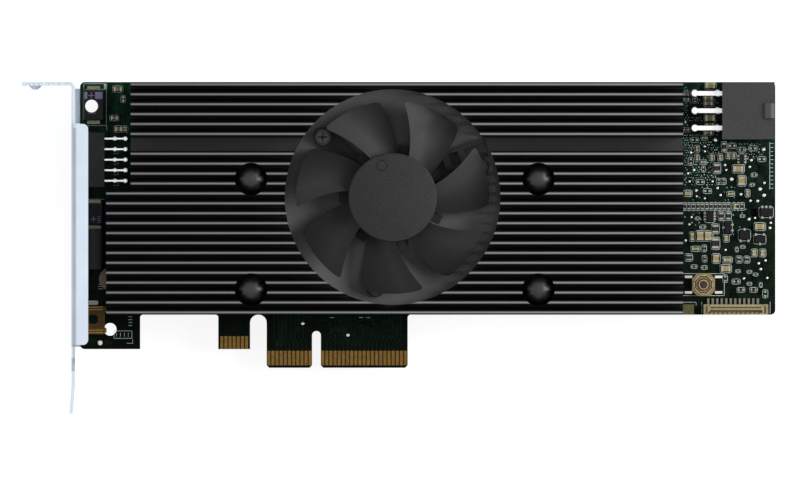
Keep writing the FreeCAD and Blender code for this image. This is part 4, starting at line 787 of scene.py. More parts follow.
@dataclass(frozen=True)
class Sunken(Speckled):
    """Moulded plastic with painted shade that darkens it in its depths and painted light that
    makes it paler on its open faces.
    """

    deep: float = 8.2 * MM
    shallow: float = 10.8 * MM
    deep_share: float = 0.05
    open_share: float = 1.4
    cap: float = 13.25 * MM
    speck_left: float = 0.12

    def paint(self, recipe: Recipe) -> Socket:
        """Specks over a tone that lightens with height, as painted shade low down and painted
        light high up, and the plain tone above the cap.

        Args:
            recipe: The material being made.

        Returns:
            The colour.
        """
        base = Speckled.paint(self, recipe)
        height = recipe.axis(Axis.Z)
        # Painted shade, near black at the blades' low edges, rising to painted light at their high
        # edges.
        height_shading = recipe.blend(recipe.spread(height, self.deep, self.shallow),
                              self.tone(self.deep_share), self.tone(self.open_share))
        blade = recipe.blend(self.speck_left, height_shading, base)
        return recipe.blend(recipe.spread(height, self.cap, self.cap + SOFT_EDGE), blade, base)


@dataclass(frozen=True)
class Rounded(Speckled):
    """Moulding whose top rolls over from a paler crown to darker sides along one axis, painted as
    a highlight down the crown and shade on the sides.
    """

    crown_at: float = 0.0
    crown_width: float = 2 * MM
    crown: Colour = shade(58, 58, 60)

    def paint(self, recipe: Recipe) -> Socket:
        """Specks, with a soft pale stripe down the crown as a painted highlight.

        Args:
            recipe: The material being made.

        Returns:
            The colour.
        """
        base = Speckled.paint(self, recipe)
        away = recipe.sum("ABSOLUTE", recipe.sum("SUBTRACT", recipe.axis(Axis.X), self.crown_at))
        # Painted highlight down the crown.
        return recipe.blend(recipe.fall(away, 0.0, self.crown_width), base, self.crown)


TIN = Finish("tinned_solder", shade(196, 194, 184), 0.3, 0.8, 0.14, 0.6 * MM)
END_TIN = Finish("end_cap_tin", shade(152, 148, 130), 0.42, 0.6, 0.16, 0.5 * MM)
# A darker copy of the tin: painted shade for the dark band round the wire connector's pins.
SHADED_TIN = Finish("dull_tin", shade(106, 104, 92), 0.42, 0.6, 0.16, 0.5 * MM)
BRIGHT_PIN = Finish("bright_pin", shade(232, 232, 236), 0.3, 0.6, 0.04, 1.2 * MM)
WHITE_INK = Finish("white_ink", shade(184, 200, 198), 0.65, 0.0, 0.25, 0.5 * MM, specular=0.1)
GOLD = Worn("gold_plate", shade(98, 75, 28), 0.36, 0.8, 0.22, 1.0 * MM, relief=0.002 * MM)
CONTACT_BED = Finish("contact_bed", shade(52, 20, 12), 0.5, 0.0, 0.2, specular=0.1)
MASKED_COPPER = Finish("masked_copper", shade(14, 30, 21), 0.35, 0.0, 0.35, 2 * MM, specular=0.04)
VIA_PLUG = Finish("via_plug", shade(4, 8, 6), 0.5, 0.0, 0.1, specular=0.05)
VIA_DOT = Finish("lacquered_via", shade(168, 192, 182), 0.45, 0.0, 0.3, 0.6 * MM, specular=0.15)
BLACK_CHIP = Speckled("moulded_chip", shade(17, 17, 19), 0.55, 0.0, specular=0.12)
# Its raised latch carries a painted highlight.
GREY_HOUSING = Raised("grey_housing", shade(57, 57, 58), 0.6, 0.0, specular=0.15, speck=0.24)
BLACK_HOUSING = Speckled("black_housing", shade(41, 41, 42), 0.55, 0.0, specular=0.12, speck=0.25)
BEIGE = Finish("beige_housing", shade(138, 128, 97), 0.5, 0.0, 0.14, 1.0 * MM, specular=0.2)
# Paler and darker tones of the housing: painted highlight on its lip and ways, painted shade in
# its recesses.
BEIGE_HIGHLIGHT = Finish("beige_edge", shade(160, 150, 116), 0.5, 0.0, 0.12, 1.0 * MM, specular=0.2)
BEIGE_SHADE = Finish("beige_recess", shade(82, 66, 44), 0.6, 0.0, 0.25, 0.6 * MM, specular=0.1)
CERAMIC = Finish("capacitor_ceramic", shade(150, 134, 92), 0.45, 0.0, 0.22, 0.7 * MM,
                 specular=0.25)
RESISTOR = Finish("resistor_body", shade(24, 25, 28), 0.35, 0.0, 0.2, 0.8 * MM, specular=0.2)
STEEL = Brushed("brushed_steel", shade(168, 168, 170), 0.32, 1.0, 0.06)
NUT = Brushed("nut_steel", shade(190, 190, 190), 0.3, 1.0, 0.06, along=Axis.X)
COPPER_WIRE = Brushed("copper_wire", shade(176, 104, 62), 0.3, 1.0, 0.1, relief=0.05 * MM,
                      along=Axis.X, streak=0.15 * MM)


# ------------------------------------------------------------------ mesh making


class Faces:
    """Gathers faces, in metres, and turns them into one piece."""

    def __init__(self) -> None:
        """Starts with no faces."""
        self.corners: list[tuple[float, float, float]] = []
        self.faces: list[tuple[int, ...]] = []

    def loop(self, spots: Iterable[Spot], height: float) -> list[int]:
        """Adds a level loop of corners.

        Args:
            spots: The corners in order.
            height: Their height.

        Returns:
            The corners' numbers.
        """
        start = len(self.corners)
        self.corners += [(x, y, height) for x, y in spots]
        return list(range(start, len(self.corners)))

    def skin(self, loops: Sequence[Sequence[int]], cap_low: bool = True,
             cap_high: bool = True) -> None:
        """Joins loops of equal length into a closed wall.

        Args:
            loops: The loops, from the lowest up.
            cap_low: Whether the first loop is closed.
            cap_high: Whether the last loop is closed.
        """
        for lower, upper in zip(loops, loops[1:]):
            count = len(lower)
            for step in range(count):
                after = (step + 1) % count
                self.faces.append((lower[step], lower[after], upper[after], upper[step]))
        if cap_low:
            self.faces.append(tuple(reversed(loops[0])))
        if cap_high:
            self.faces.append(tuple(loops[-1]))

    def prism(self, spots: Sequence[Spot], low: float, high: float) -> None:
        """Adds an upright prism."""
        self.skin([self.loop(spots, low), self.loop(spots, high)])

    def slope(self, box: Box, flare: float, low: float, high: float) -> None:
        """Adds a block that spreads out towards its foot.

        Args:
            box: The block's sides at its top.
            flare: How far the foot spreads past them.
            low: The foot's height.
            high: The top's height.
        """
        self.skin([self.loop(box.grown(flare).outline(), low), self.loop(box.outline(), high)])

    def turned(self, x: float, y: float, profile: Sequence[Spot], sides: int = 20) -> None:
        """Adds a turned form.

        Args:
            x: The axis's X.
            y: The axis's Y.
            profile: Radius and height of each ring, from one end to the other.
            sides: How many sides the rings have.
        """
        loops = []
        for radius, height in profile:
            turns = [2 * math.pi * step / sides for step in range(sides)]
            loops.append(self.loop([(x + radius * math.cos(turn), y + radius * math.sin(turn))
                                    for turn in turns], height))
        self.skin(loops)

    def ring(self, x: float, y: float, inner: float, outer: float, low: float, high: float,
             sides: int = 20) -> None:
        """Adds a flat washer between two radii and two heights."""
        self.tube(x, y, [(inner, low), (outer, low), (outer, high), (inner, high)], sides)

    def tube(self, x: float, y: float, section: Sequence[Spot], sides: int = 20) -> None:
        """Adds a closed ring of any section about an upright axis.

        Args:
            x: The axis's X.
            y: The axis's Y.
            section: Radius and height of each corner of the section, in order.
            sides: How many sides the ring has.
        """
        loops = []
        for step in range(sides):
            turn = 2 * math.pi * step / sides
            start = len(self.corners)
            self.corners += [(x + radius * math.cos(turn), y + radius * math.sin(turn), height)
                             for radius, height in section]
            loops.append(list(range(start, len(self.corners))))
        self.skin([*loops, loops[0]], cap_low=False, cap_high=False)

    def line(self, spots: Sequence[Spot], width: float, low: float, high: float,
             closed: bool = False) -> None:
        """Adds a raised line of even width with square joints.

        Args:
            spots: The line's corners.
            width: Its width.
            low: Its lower height.
            high: Its upper height.
            closed: Whether it runs back to its start.
        """
        pairs = list(zip(spots, spots[1:]))
        if closed:
            pairs.append((spots[-1], spots[0]))
        for (x0, y0), (x1, y1) in pairs:
            length = math.hypot(x1 - x0, y1 - y0)
            if length < 1e-9:
                continue
            along = ((x1 - x0) / length * width / 2, (y1 - y0) / length * width / 2)
            corners = []
            for (x, y), end, side in (((x0, y0), -1, -1), ((x1, y1), 1, -1),
                                      ((x1, y1), 1, 1), ((x0, y0), -1, 1)):
                corners.append((x + along[0] * end - along[1] * side,
                                y + along[1] * end + along[0] * side))
            self.prism(corners, low, high)

    def piece(self, name: str, finish: Finish, slot: str, body: Body = Body.CARD,
              smooth: bool = False) -> bpy.types.Object:
        """Makes the gathered faces into one piece that rides on a body.

        Args:
            name: The piece's name.
            finish: Its finish.
            slot: The record's material slot that the finish belongs to; not used.
            body: The body that it rides on.
            smooth: Whether gentle edges are shaded smooth.

        Returns:
            The new piece.
        """
        mesh = bpy.data.meshes.new(name)
        mesh.from_pydata(self.corners, [], self.faces)
        made = bmesh.new()
        made.from_mesh(mesh)
        bmesh.ops.recalc_face_normals(made, faces=made.faces)
        made.to_mesh(mesh)
        made.free()
        if smooth:
            mesh.polygons.foreach_set("use_smooth", [True] * len(mesh.polygons))
            mesh.set_sharp_from_angle(angle=SHARP_ANGLE)
        mesh.materials.append(finish.make())
        item = bpy.data.objects.new(name, mesh)
        bpy.context.scene.collection.objects.link(item)
        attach(item, body.value)
        return item


class Layer(Faces):
    """Flat shapes that all lie between the same two heights."""

    def __init__(self, low: float, high: float) -> None:
        """Starts with no shapes.

        Args:
            low: The lower height.
            high: The upper height.
        """
        super().__init__()
        self.low, self.high = low, high

    def stroke(self, width: float, *spots: Spot, closed: bool = False) -> None:
        """Adds one line through some spots."""
        self.line(spots, width, self.low, self.high, closed)

    def panel(self, spots: Sequence[Spot]) -> None:
        """Adds one filled shape."""
        self.prism(spots, self.low, self.high)

    def plus(self, x: float, y: float, arm: float, width: float) -> None:
        """Adds an upright cross of two lines about a middle."""
        self.stroke(width, (x - arm, y), (x + arm, y))
        self.stroke(width, (x, y - arm), (x, y + arm))


def dress(node: str, finish: Finish) -> None:
    """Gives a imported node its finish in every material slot.

    Args:
        node: The node's name.
        finish: The finish.
    """
    mesh = frame["nodes"][node].data
    if not mesh.materials:
        mesh.materials.append(finish.make())
    for index in range(len(mesh.materials)):
        mesh.materials[index] = finish.make()


def dress_all(finishes: dict[str, Finish]) -> None:
    """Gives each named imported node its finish."""
    for node, finish in finishes.items():
        dress(node, finish)


class Assembly:
    """One group of the card's pieces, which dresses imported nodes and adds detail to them."""

    def build(self) -> Pieces:
        """Makes the group's extra pieces and returns them."""
        raise NotImplementedError


# ------------------------------------------------------------------ circuit board


@dataclass(frozen=True)
class Mark:
    """A printed line, in millimetres from a named corner, and how often it is repeated."""

    corner: str
    spots: tuple[Spot, ...]
    count: int = 1
    step: Spot = (0.0, 0.0)
    closed: bool = False


@dataclass
class Board(Assembly):
    """Bare laminate with its lacquer, plated holes, buried traces, vias and printed outlines."""

    ink_width: float = 0.11 * MM
    ink_height: float = 0.02 * MM
    ink_margin: float = 0.3 * MM
    corner_cut: float = 0.13
    trace_width: float = 0.13 * MM
    trace_pitch: float = 0.34 * MM
    trace_height: float = 0.012 * MM
    via_radius: float = 0.2 * MM
    via_hole: float = 0.1 * MM
    via_pitch: float = 0.6 * MM
    via_stray: float = 0.13 * MM
    pad_height: float = 0.03 * MM
    bundles_per_area: float = 0.3
    dot_gap: float = 0.55 * MM
    fixing_radius: float = 1.53 * MM
    edge_gap: float = 0.6 * MM
    hole_gap: float = 1.2 * MM
    run_spans: tuple[Spot, ...] = ((0.8, 3.5), (0.5, 2.5), (0.8, 4.5))
    most_lanes: int = 5
    back_share: float = 0.12
    via_size: Spot = (0.07, 0.16)
    via_gap: float = 0.12 * MM
    dot_sizes: tuple[float, ...] = (0.27, 0.3, 0.33, 0.42)
    footprint_lengths: tuple[float, ...] = (1.2, 1.5, 2.0)
    footprint_width: float = 0.62
    footprint_gap: float = 0.22 * MM
    pad_spread: float = 0.26
    lying_share: float = 0.55
    climb_width: float = 0.16 * MM
    climb_rise: float = 2.2 * MM
    hook_from: float = 6 * MM
    key_half: float = 1.4 * MM
    key_depth: float = 9.4 * MM
    part_weld: float = 0.06 * MM
    tries: int = 60
    footprints: int = 24
    marks: tuple[Mark, ...] = (
        Mark("side", ((-1.6, 5.2), (-0.9, 5.2))),
        Mark("side", ((-1.6, 4.65), (-0.7, 4.65))),
        Mark("side", ((-1.6, 4.1), (-0.5, 4.1))),
        Mark("scale", ((-1.35, -0.8), (-1.35, -12.0))),
        Mark("scale", ((-1.35, -1.0), (-0.55, -1.0)), 12, (0.0, -0.98)),
        Mark("foot", ((8.2, 7.1), (12.5, 7.1), (12.5, 8.9), (8.2, 8.9)), closed=True),
        Mark("foot", ((8.8, 7.6), (8.8, 8.4)), 4, (0.95, 0.0)),
        Mark("foot", ((11.7, 10.2), (12.5, 10.2)), 4, (0.0, 0.7)),
        Mark("foot", ((11.3, 5.9), (12.7, 5.9), (12.7, 6.8))),
        Mark("key", ((3.3, 12.1), (4.2, 12.1))),
        Mark("key", ((10.3, 12.1), (11.2, 12.1)), 2, (1.6, 0.0)),
        Mark("header", ((2.2, 0.4), (3.3, 0.4), (3.3, 1.3)), 4, (0.0, 2.55)),
    )
    face: float = field(init=False)
    back: float = field(init=False)
    zones: dict[str, Box] = field(init=False)
    taken: list[Box] = field(init=False)
    holes: list[Vector] = field(init=False)
    chance: random.Random = field(init=False)
    key: Vector = field(init=False)

    def __post_init__(self) -> None:
        """Finds the board's faces, bare zones and holes in the frame."""
        board, sink = node_box("circuit_board"), node_box("heatsink")
        self.face, self.back = board.high.z, board.low.z
        self.chance = random.Random(SEED)
        self.key = mount_place("edge_connector")
        edge, base, tongue = self.edge_gap, sink.low.y, self.key.y + 5 * MM
        left, right, top = board.low.x, board.high.x, board.high.y
        self.zones = {
            "far_strip": flat_box(sink.high.x + 0.2 * MM, base + edge, right - edge, top - edge),
            "near_strip": flat_box(left + edge, base, sink.low.x + 5 * MM, top - edge),
            "foot": flat_box(left + edge, tongue, left + 14 * MM, base),
            "tongue": flat_box(self.key.x - 10.6 * MM, tongue, self.key.x + 21.2 * MM, base),
            "whole": flat_box(left + MM, base + MM, right - MM, top - MM),
        }
        self.holes = [mount_place(name) for name in ("upper_fixing", "lower_fixing")]
        self.taken = []

    def clear_of_holes(self, x: float, y: float, gap: float) -> bool:
        """Says whether a spot keeps a distance from every fixing hole and the key notch.

        Args:
            x: The spot's X.
            y: The spot's Y.
            gap: The distance.

        Returns:
            True if it does.
        """
        near_key = (abs(x - self.key.x) < self.key_half + gap
                    and y - self.key.y < self.key_depth + gap)
        return not near_key and all(math.hypot(x - place.x, y - place.y)
                                    > self.fixing_radius + gap for place in self.holes)

    def free(self, spot: Box, gap: float) -> bool:
        """Says whether a box on the board keeps clear of everything already placed.

        Args:
            spot: The box.
            gap: How far it has to keep clear.

        Returns:
            True if it does.
        """
        return self.clear_of_holes(spot.centre.x, spot.centre.y, gap + spot.size.x) and not any(
            spot.low.x - gap < other.high.x and other.low.x < spot.high.x + gap
            and spot.low.y - gap < other.high.y and other.low.y < spot.high.y + gap
            for other in self.taken)

    def pick(self, zone: Box, width: float, depth: float, gap: float) -> Optional[Box]:
        """Looks for a free place of a given size, and takes it.

        Args:
            zone: Where it has to be.
            width: Its length along X.
            depth: Its length along Y.
            gap: How far it keeps from everything else.

        Returns:
            The place, or None if none was found in a few tries.
        """
        for _ in range(self.tries):
            corner = Vector((self.chance.uniform(zone.low.x, zone.high.x - width),
                             self.chance.uniform(zone.low.y, zone.high.y - depth), 0))
            spot = Box(corner, corner + Vector((width, depth, 0)))
            if self.free(spot, gap):
                self.taken.append(spot)
                return spot
        return None

    def bundle(self, zone: Box) -> list[list[Spot]]:
        """Lays a few traces side by side: straight, slanting, straight again.

        Args:
            zone: Where they have to stay.

        Returns:
            The traces' corners, one list for each that stays in the zone.
        """
        heading = self.chance.choice((0, 90, 180, 270))
        x = self.chance.uniform(zone.low.x, zone.high.x)
        y = self.chance.uniform(zone.low.y, zone.high.y)
        bend = self.chance.choice((-45, 45))
        runs = [(heading + turn, self.chance.uniform(*span))
                for turn, span in zip((0, bend, 0), self.run_spans)]
        kept = []
        for lane in range(self.chance.randint(1, self.most_lanes)):
            side = math.radians(heading + 90)
            spot = (x + lane * self.trace_pitch * math.cos(side),
                    y + lane * self.trace_pitch * math.sin(side))
            corners = [spot]
            for turn, length in runs:
                angle = math.radians(turn)
                spot = (spot[0] + length * MM * math.cos(angle),
                        spot[1] + length * MM * math.sin(angle))
                corners.append(spot)
            if all(zone.holds(*corner, self.via_radius)
                   and self.clear_of_holes(*corner, self.hole_gap) for corner in corners):
                kept.append(corners)
        return kept

    def wiring(self, names: Sequence[str], level: float, up: int, label: str,
               share: float = 1.0) -> Pieces:
        """Traces under the lacquer, with a via at each of their ends.

        Args:
            names: The zones that they run in.
            level: The board face that they lie on.
            up: 1 on the component face and -1 on the solder face.
            label: How the pieces' names end.
            share: How densely they lie, against the usual.

        Returns:
            The pieces.
        """
        traces, rings, plugs = Faces(), Faces(), Faces()
        top = level + up * self.trace_height
        rim = level + up * self.trace_height * 1.4
        for name in names:
            zone = self.zones[name]
            area = zone.size.x * zone.size.y / MM ** 2
            for _ in range(int(area * self.bundles_per_area * share)):
                for corners in self.bundle(zone):
                    traces.line(corners, self.trace_width, *sorted((level, top)))
                    for x, y in (corners[0], corners[-1]):
                        rings.ring(x, y, self.via_hole, self.via_radius, *sorted((level, rim)), 8)
                        low, high = sorted((level, top))
                        plugs.turned(x, y, [(self.via_hole, low), (self.via_hole, high)], 6)
        return [traces.piece("traces_" + label, MASKED_COPPER, "board"),
                rings.piece("via_rings_" + label, MASKED_COPPER, "board"),
                plugs.piece("via_plugs_" + label, VIA_PLUG, "board")]

    def via_fields(self) -> bpy.types.Object:
        """Staggered rows of small plugged vias between the heatsink and the power header.

        Returns:
            The piece.
        """
        dots = Faces()
        power, sink = node_box("power_housing"), node_box("heatsink")
        # Each field, with the share of its places that carry a via.
        fields = (
            (flat_box(sink.high.x + 0.2 * MM, power.low.y - 2 * MM, sink.high.x + 5 * MM,
                      power.high.y - 0.3 * MM), 1.0),
            (flat_box(sink.high.x + 0.4 * MM, power.low.y - 11 * MM, power.low.x - 0.5 * MM,
                      power.high.y - 0.5 * MM), 0.92),
            (flat_box(power.low.x + 1.2 * MM, power.low.y - 4.8 * MM, power.high.x - 2 * MM,
                      power.low.y - 0.5 * MM), 0.8),
            (flat_box(sink.high.x + 0.4 * MM, power.low.y - 26 * MM, power.low.x + 6 * MM,
                      power.low.y - 11 * MM), 0.12),
        )
        top = self.face + self.trace_height * 2
        for zone, share in fields:
            for row in range(int(zone.size.y / self.via_pitch)):
                for column in range(int(zone.size.x / self.via_pitch)):
                    x = (zone.low.x + (column + (row % 2) / 2) * self.via_pitch
                         + self.chance.uniform(-1, 1) * self.via_stray)
                    y = (zone.low.y + row * self.via_pitch
                         + self.chance.uniform(-1, 1) * self.via_stray)
                    radius = self.chance.uniform(*self.via_size) * MM
                    spot = flat_box(x - radius, y - radius, x + radius, y + radius)
                    if self.chance.random() < share and self.free(spot, self.via_gap):
                        dots.turned(x, y, [(radius, self.face), (radius, top)], 6)
        return dots.piece("plugged_vias", VIA_DOT, "board")

    def test_dots(self) -> bpy.types.Object:
        """Bare tinned dots in the gaps between the parts.

        Returns:
            The piece.
        """
        dots = Faces()
        top = self.face + self.pad_height
        for name, count in (("far_strip", 40), ("near_strip", 3)):
            for _ in range(count):
                radius = self.chance.choice(self.dot_sizes) * MM
                spot = self.pick(self.zones[name], radius * 2, radius * 2, self.dot_gap)
                if spot:
                    self.dot(dots, spot.centre.x, spot.centre.y, radius, top)
        foot = Vector((node_box("circuit_board").low.x, self.key.y, 0))
        for corner, offset, radius in ((foot, (4.83, 6.02), 0.6), (self.key, (-3.3, 10.7), 0.4),
                                       (self.key, (7.6, 7.9), 0.4)):
            self.dot(dots, *spots_from(corner, offset)[0], radius * MM, top)
        return dots.piece("test_dots_front", TIN, "tin", smooth=True)

    def dot(self, dots: Faces, x: float, y: float, radius: float, top: float) -> None:
        """Adds one low tinned dot."""
        dots.turned(x, y, [(radius, self.face), (radius * 0.85, top)], 12)

    def ink(self) -> Layer:
        """Starts a layer of print on the component face."""
        return Layer(self.face, self.face + self.ink_height)

    def bare_footprints(self) -> Pieces:
        """Pad pairs that carry no part, each in its printed frame.

        Returns:
            The extra pieces.
        """
        pads, ink = Layer(self.face, self.face + self.pad_height), self.ink()
        for _ in range(self.footprints):
            flat = self.chance.random() < self.lying_share
            length = self.chance.choice(self.footprint_lengths) * MM
            width = length * self.footprint_width
            size = (length, width) if flat else (width, length)
            spot = self.pick(self.zones["far_strip"], *size, self.footprint_gap)
            if not spot:
                continue
            half = width * 0.2
            ink.stroke(self.ink_width * 0.85, *spot.outline(half), closed=True)
            for end in (-1, 1):
                away = end * length * self.pad_spread
                x = spot.centre.x + (away if flat else 0)
                y = spot.centre.y + (0 if flat else away)
                pads.panel(flat_box(x - half, y - half, x + half, y + half).outline())
        return [pads.piece("bare_pads", END_TIN, "tin"),
                ink.piece("bare_frames", WHITE_INK, "board")]

    def print_outlines(self, parts: Sequence[Box]) -> bpy.types.Object:
        """Printed frames round the small parts.

        Args:
            parts: The parts' boxes.

        Returns:
            The piece.
        """
        ink = self.ink()
        board = node_box("circuit_board").grown(-self.ink_width)
        for part in parts:
            grown = part.grown(self.ink_margin)
            inside = Box(Vector(map(max, grown.low, board.low)),
                         Vector(map(min, grown.high, board.high)))
            cut = min(inside.size.x, inside.size.y) * self.corner_cut
            ink.stroke(self.ink_width, *inside.outline(cut), closed=True)
        return ink.piece("printed_outlines", WHITE_INK, "board")

    def part_marks(self, ink: Layer) -> None:
        """Prints what goes round or beside one part and takes its size.

        Args:
            ink: The layer that the lines are added to.
        """
        stroke = functools.partial(ink.stroke, self.ink_width)
        first, second = reversed(loose_boxes("tantalum_bodies"))
        x0, x1 = first.low.x + 0.4 * MM, first.high.x + 0.45 * MM
        bar = flat_box(x0, first.high.y + 0.1 * MM, x1, first.high.y + 1.45 * MM)
        stroke(*bar.outline(), closed=True)
        ink.panel(flat_box(x1 - 0.7 * MM, bar.low.y, x1, bar.high.y).outline())
        side, knee = x1 - 0.1 * MM, first.low.y - 1.2 * MM
        stroke((side, first.low.y - 0.9 * MM), (side, bar.low.y))
        stroke((x0, knee), (x1, knee), (x1, knee - 1.1 * MM))
        level = second.high.y + 0.95 * MM
        stroke((second.low.x, level), (second.high.x, level))
        stroke(*node_box("switch_terminals").grown(0.5 * MM).outline(), closed=True)
        wires = node_box("wire_housing")
        for x in (wires.low.x - 0.45 * MM, wires.high.x + 0.45 * MM):
            stroke((x, wires.low.y + 0.4 * MM), (x, wires.high.y + 0.5 * MM))
        crystal = node_box("oscillator").grown(0.5 * MM)
        stroke((crystal.low.x + 0.6 * MM, crystal.high.y), (crystal.high.x, crystal.high.y),
               (crystal.high.x, crystal.high.y - 0.7 * MM))

    def print_marks(self) -> bpy.types.Object:
        """Printed lines beside the larger parts: polarity bars, frames and pin-one marks.

        Returns:
            The piece.
        """
        ink = self.ink()
        self.part_marks(ink)
        board, power, header = map(node_box, ("circuit_board", "power_housing", "header_housing"))
        corners = {
            "side": node_box("side_connector").high,
            "scale": Vector((board.high.x, power.low.y, 0)),
            "foot": Vector((board.low.x, self.key.y, 0)),
            "key": self.key,
            "header": Vector((header.high.x, header.low.y, 0)),
        }
        for mark in self.marks:
            for turn in range(mark.count):
                offsets = [(x + mark.step[0] * turn, y + mark.step[1] * turn)
                           for x, y in mark.spots]
                ink.stroke(self.ink_width, *spots_from(corners[mark.corner], *offsets),
                           closed=mark.closed)
        return ink.piece("printed_marks", WHITE_INK, "board")

    def solder_side(self) -> bpy.types.Object:
        """Solder joints on the back, under both legs of the power and ten-way headers.

        Returns:
            The piece.
        """
        joints = Faces()
        for node, inset, radius, drop in (("power_pins", 0.535, 1.05, 0.45),
                                          ("header_pins", -0.31, 0.62, 0.32)):
            for pin in loose_boxes(node):
                x = (pin.low.x if inset > 0 else pin.high.x) + inset * MM
                joints.turned(x, pin.centre.y, [
                    (radius * 0.5 * MM, self.back - drop * MM),
                    (radius * 0.72 * MM, self.back - drop * 0.5 * MM),
                    (radius * MM, self.back)], 18)
        return joints.piece("solder_side_joints", TIN, "tin", smooth=True)

    def contact_traces(self) -> bpy.types.Object:
        """Traces that climb from the gold contacts and slant away under the heatsink.

        Returns:
            The piece.
        """
        traces = Faces()
        base = node_box("heatsink").low.y
        for pad in loose_boxes("edge_contacts"):
            if pad.centre.z < self.back / 2 or pad.high.y - self.key.y > self.hook_from:
                continue
            x = pad.centre.x
            lean = 0.9 * MM if x > self.key.x else -0.7 * MM
            knee = pad.high.y + self.climb_rise
            spots = [(x, pad.high.y), (x, knee), (x + lean, knee + abs(lean)), (x + lean, base)]
            stays = self.zones["tongue"].holds(x + lean, base - 0.1 * MM)
            if stays and all(self.clear_of_holes(*spot, 0.2 * MM) for spot in spots[1:3]):
                traces.line(spots, self.climb_width, self.face, self.face + self.trace_height)
        return traces.piece("contact_traces", MASKED_COPPER, "board")

    def build(self) -> Pieces:
        """Dresses the laminate and adds everything printed or plated on it.

        Returns:
            The extra pieces.
        """
        board, sink = node_box("circuit_board"), node_box("heatsink")
        dress("circuit_board", SolderMask(
            "solder_mask", shade(6, 15, 8), 0.4, 0.0, specular=0.02,
            bright_from=board.centre.y - 8 * MM, bright_to=board.high.y,
            cool_from=sink.high.x - MM, cool_to=sink.high.x))
        parts = (loose_boxes("ceramic_capacitors", "capacitor_ends", weld=self.part_weld)
                 + loose_boxes("resistors", "resistor_ends", weld=self.part_weld)
                 + loose_boxes("small_packages"))
        self.taken = [part.grown(0.3 * MM) for part in parts] + [
            node_box(node).grown(0.5 * MM) for node in (
                "power_housing", "wire_housing", "wire_pins", "switch_terminals", "oscillator",
                "header_housing", "moulded_choke", "side_connector", "status_light")]
        power = node_box("power_housing")
        self.taken.append(flat_box(board.high.x - 1.7 * MM, power.low.y - 12.4 * MM,
                                   board.high.x, power.low.y))
        self.taken += [box.grown(0.8 * MM) for node in (
            "tantalum_bodies", "header_pins", "power_pins") for box in loose_boxes(node)]
        made = self.wiring(["far_strip", "near_strip", "foot", "tongue"], self.face, 1, "front")
        made += self.wiring(["whole"], self.back, -1, "back", self.back_share)
        made += [self.print_outlines(parts), self.print_marks(), self.solder_side(),
                 self.contact_traces()]
        made += self.bare_footprints()
        made += [self.test_dots(), self.via_fields()]
        return made


@dataclass
class EdgeContacts(Assembly):
    """Gold contacts of the connector and the hook, on their bare laminate."""

    group_gap: float = 1.2 * MM
    bed_height: float = 0.02 * MM

    def build(self) -> Pieces:
        """Plates the contacts and lays the dark laminate that shows between them.

        Returns:
            The extra pieces.
        """
        dress("edge_contacts", GOLD)
        face = node_box("circuit_board").high.z
        beds = Layer(face, face + self.bed_height)
        pads = [pad for pad in loose_boxes("edge_contacts") if pad.centre.z > face - 0.5 * MM]
        for row in sorted({round(pad.low.y, 5) for pad in pads}):
            line = sorted((pad for pad in pads if round(pad.low.y, 5) == row),
                          key=lambda pad: pad.low.x)
            start = line[0]
            for pad, after in zip(line, line[1:] + [None]):
                if after is None or after.low.x - pad.high.x > self.group_gap:
                    beds.panel(Box(start.low, pad.high).outline())
                    start = after
        return [beds.piece("contact_beds", CONTACT_BED, "board")]


# ------------------------------------------------------------------ bracket


@dataclass
class Bracket(Assembly):
    """Folded and plated sheet bracket."""

    fold: Spot = (13.55 * MM, 12.85 * MM)
    fold_drop: float = 11.1 * MM
    edge_drop: float = 0.05 * MM

    def build(self) -> Pieces:
        """Plates the sheet.

        Returns:
            The extra pieces.
        """
        box = node_box("bracket")
        # The plating carries painted shade along its fold.
        dress("bracket", Plated("plated_sheet", shade(211, 222, 235), 0.5, 0.35, 0.05, 9 * MM,
                                relief=0.003 * MM, specular=0.2, along=Axis.Y,
                                fold_low=box.high.x - self.fold[0],
                                fold_high=box.high.x - self.fold[1],
                                fold_end=box.high.y - self.fold_drop,
                                edge_from=box.high.z - self.edge_drop))
        return []


# ------------------------------------------------------------------ heatsink


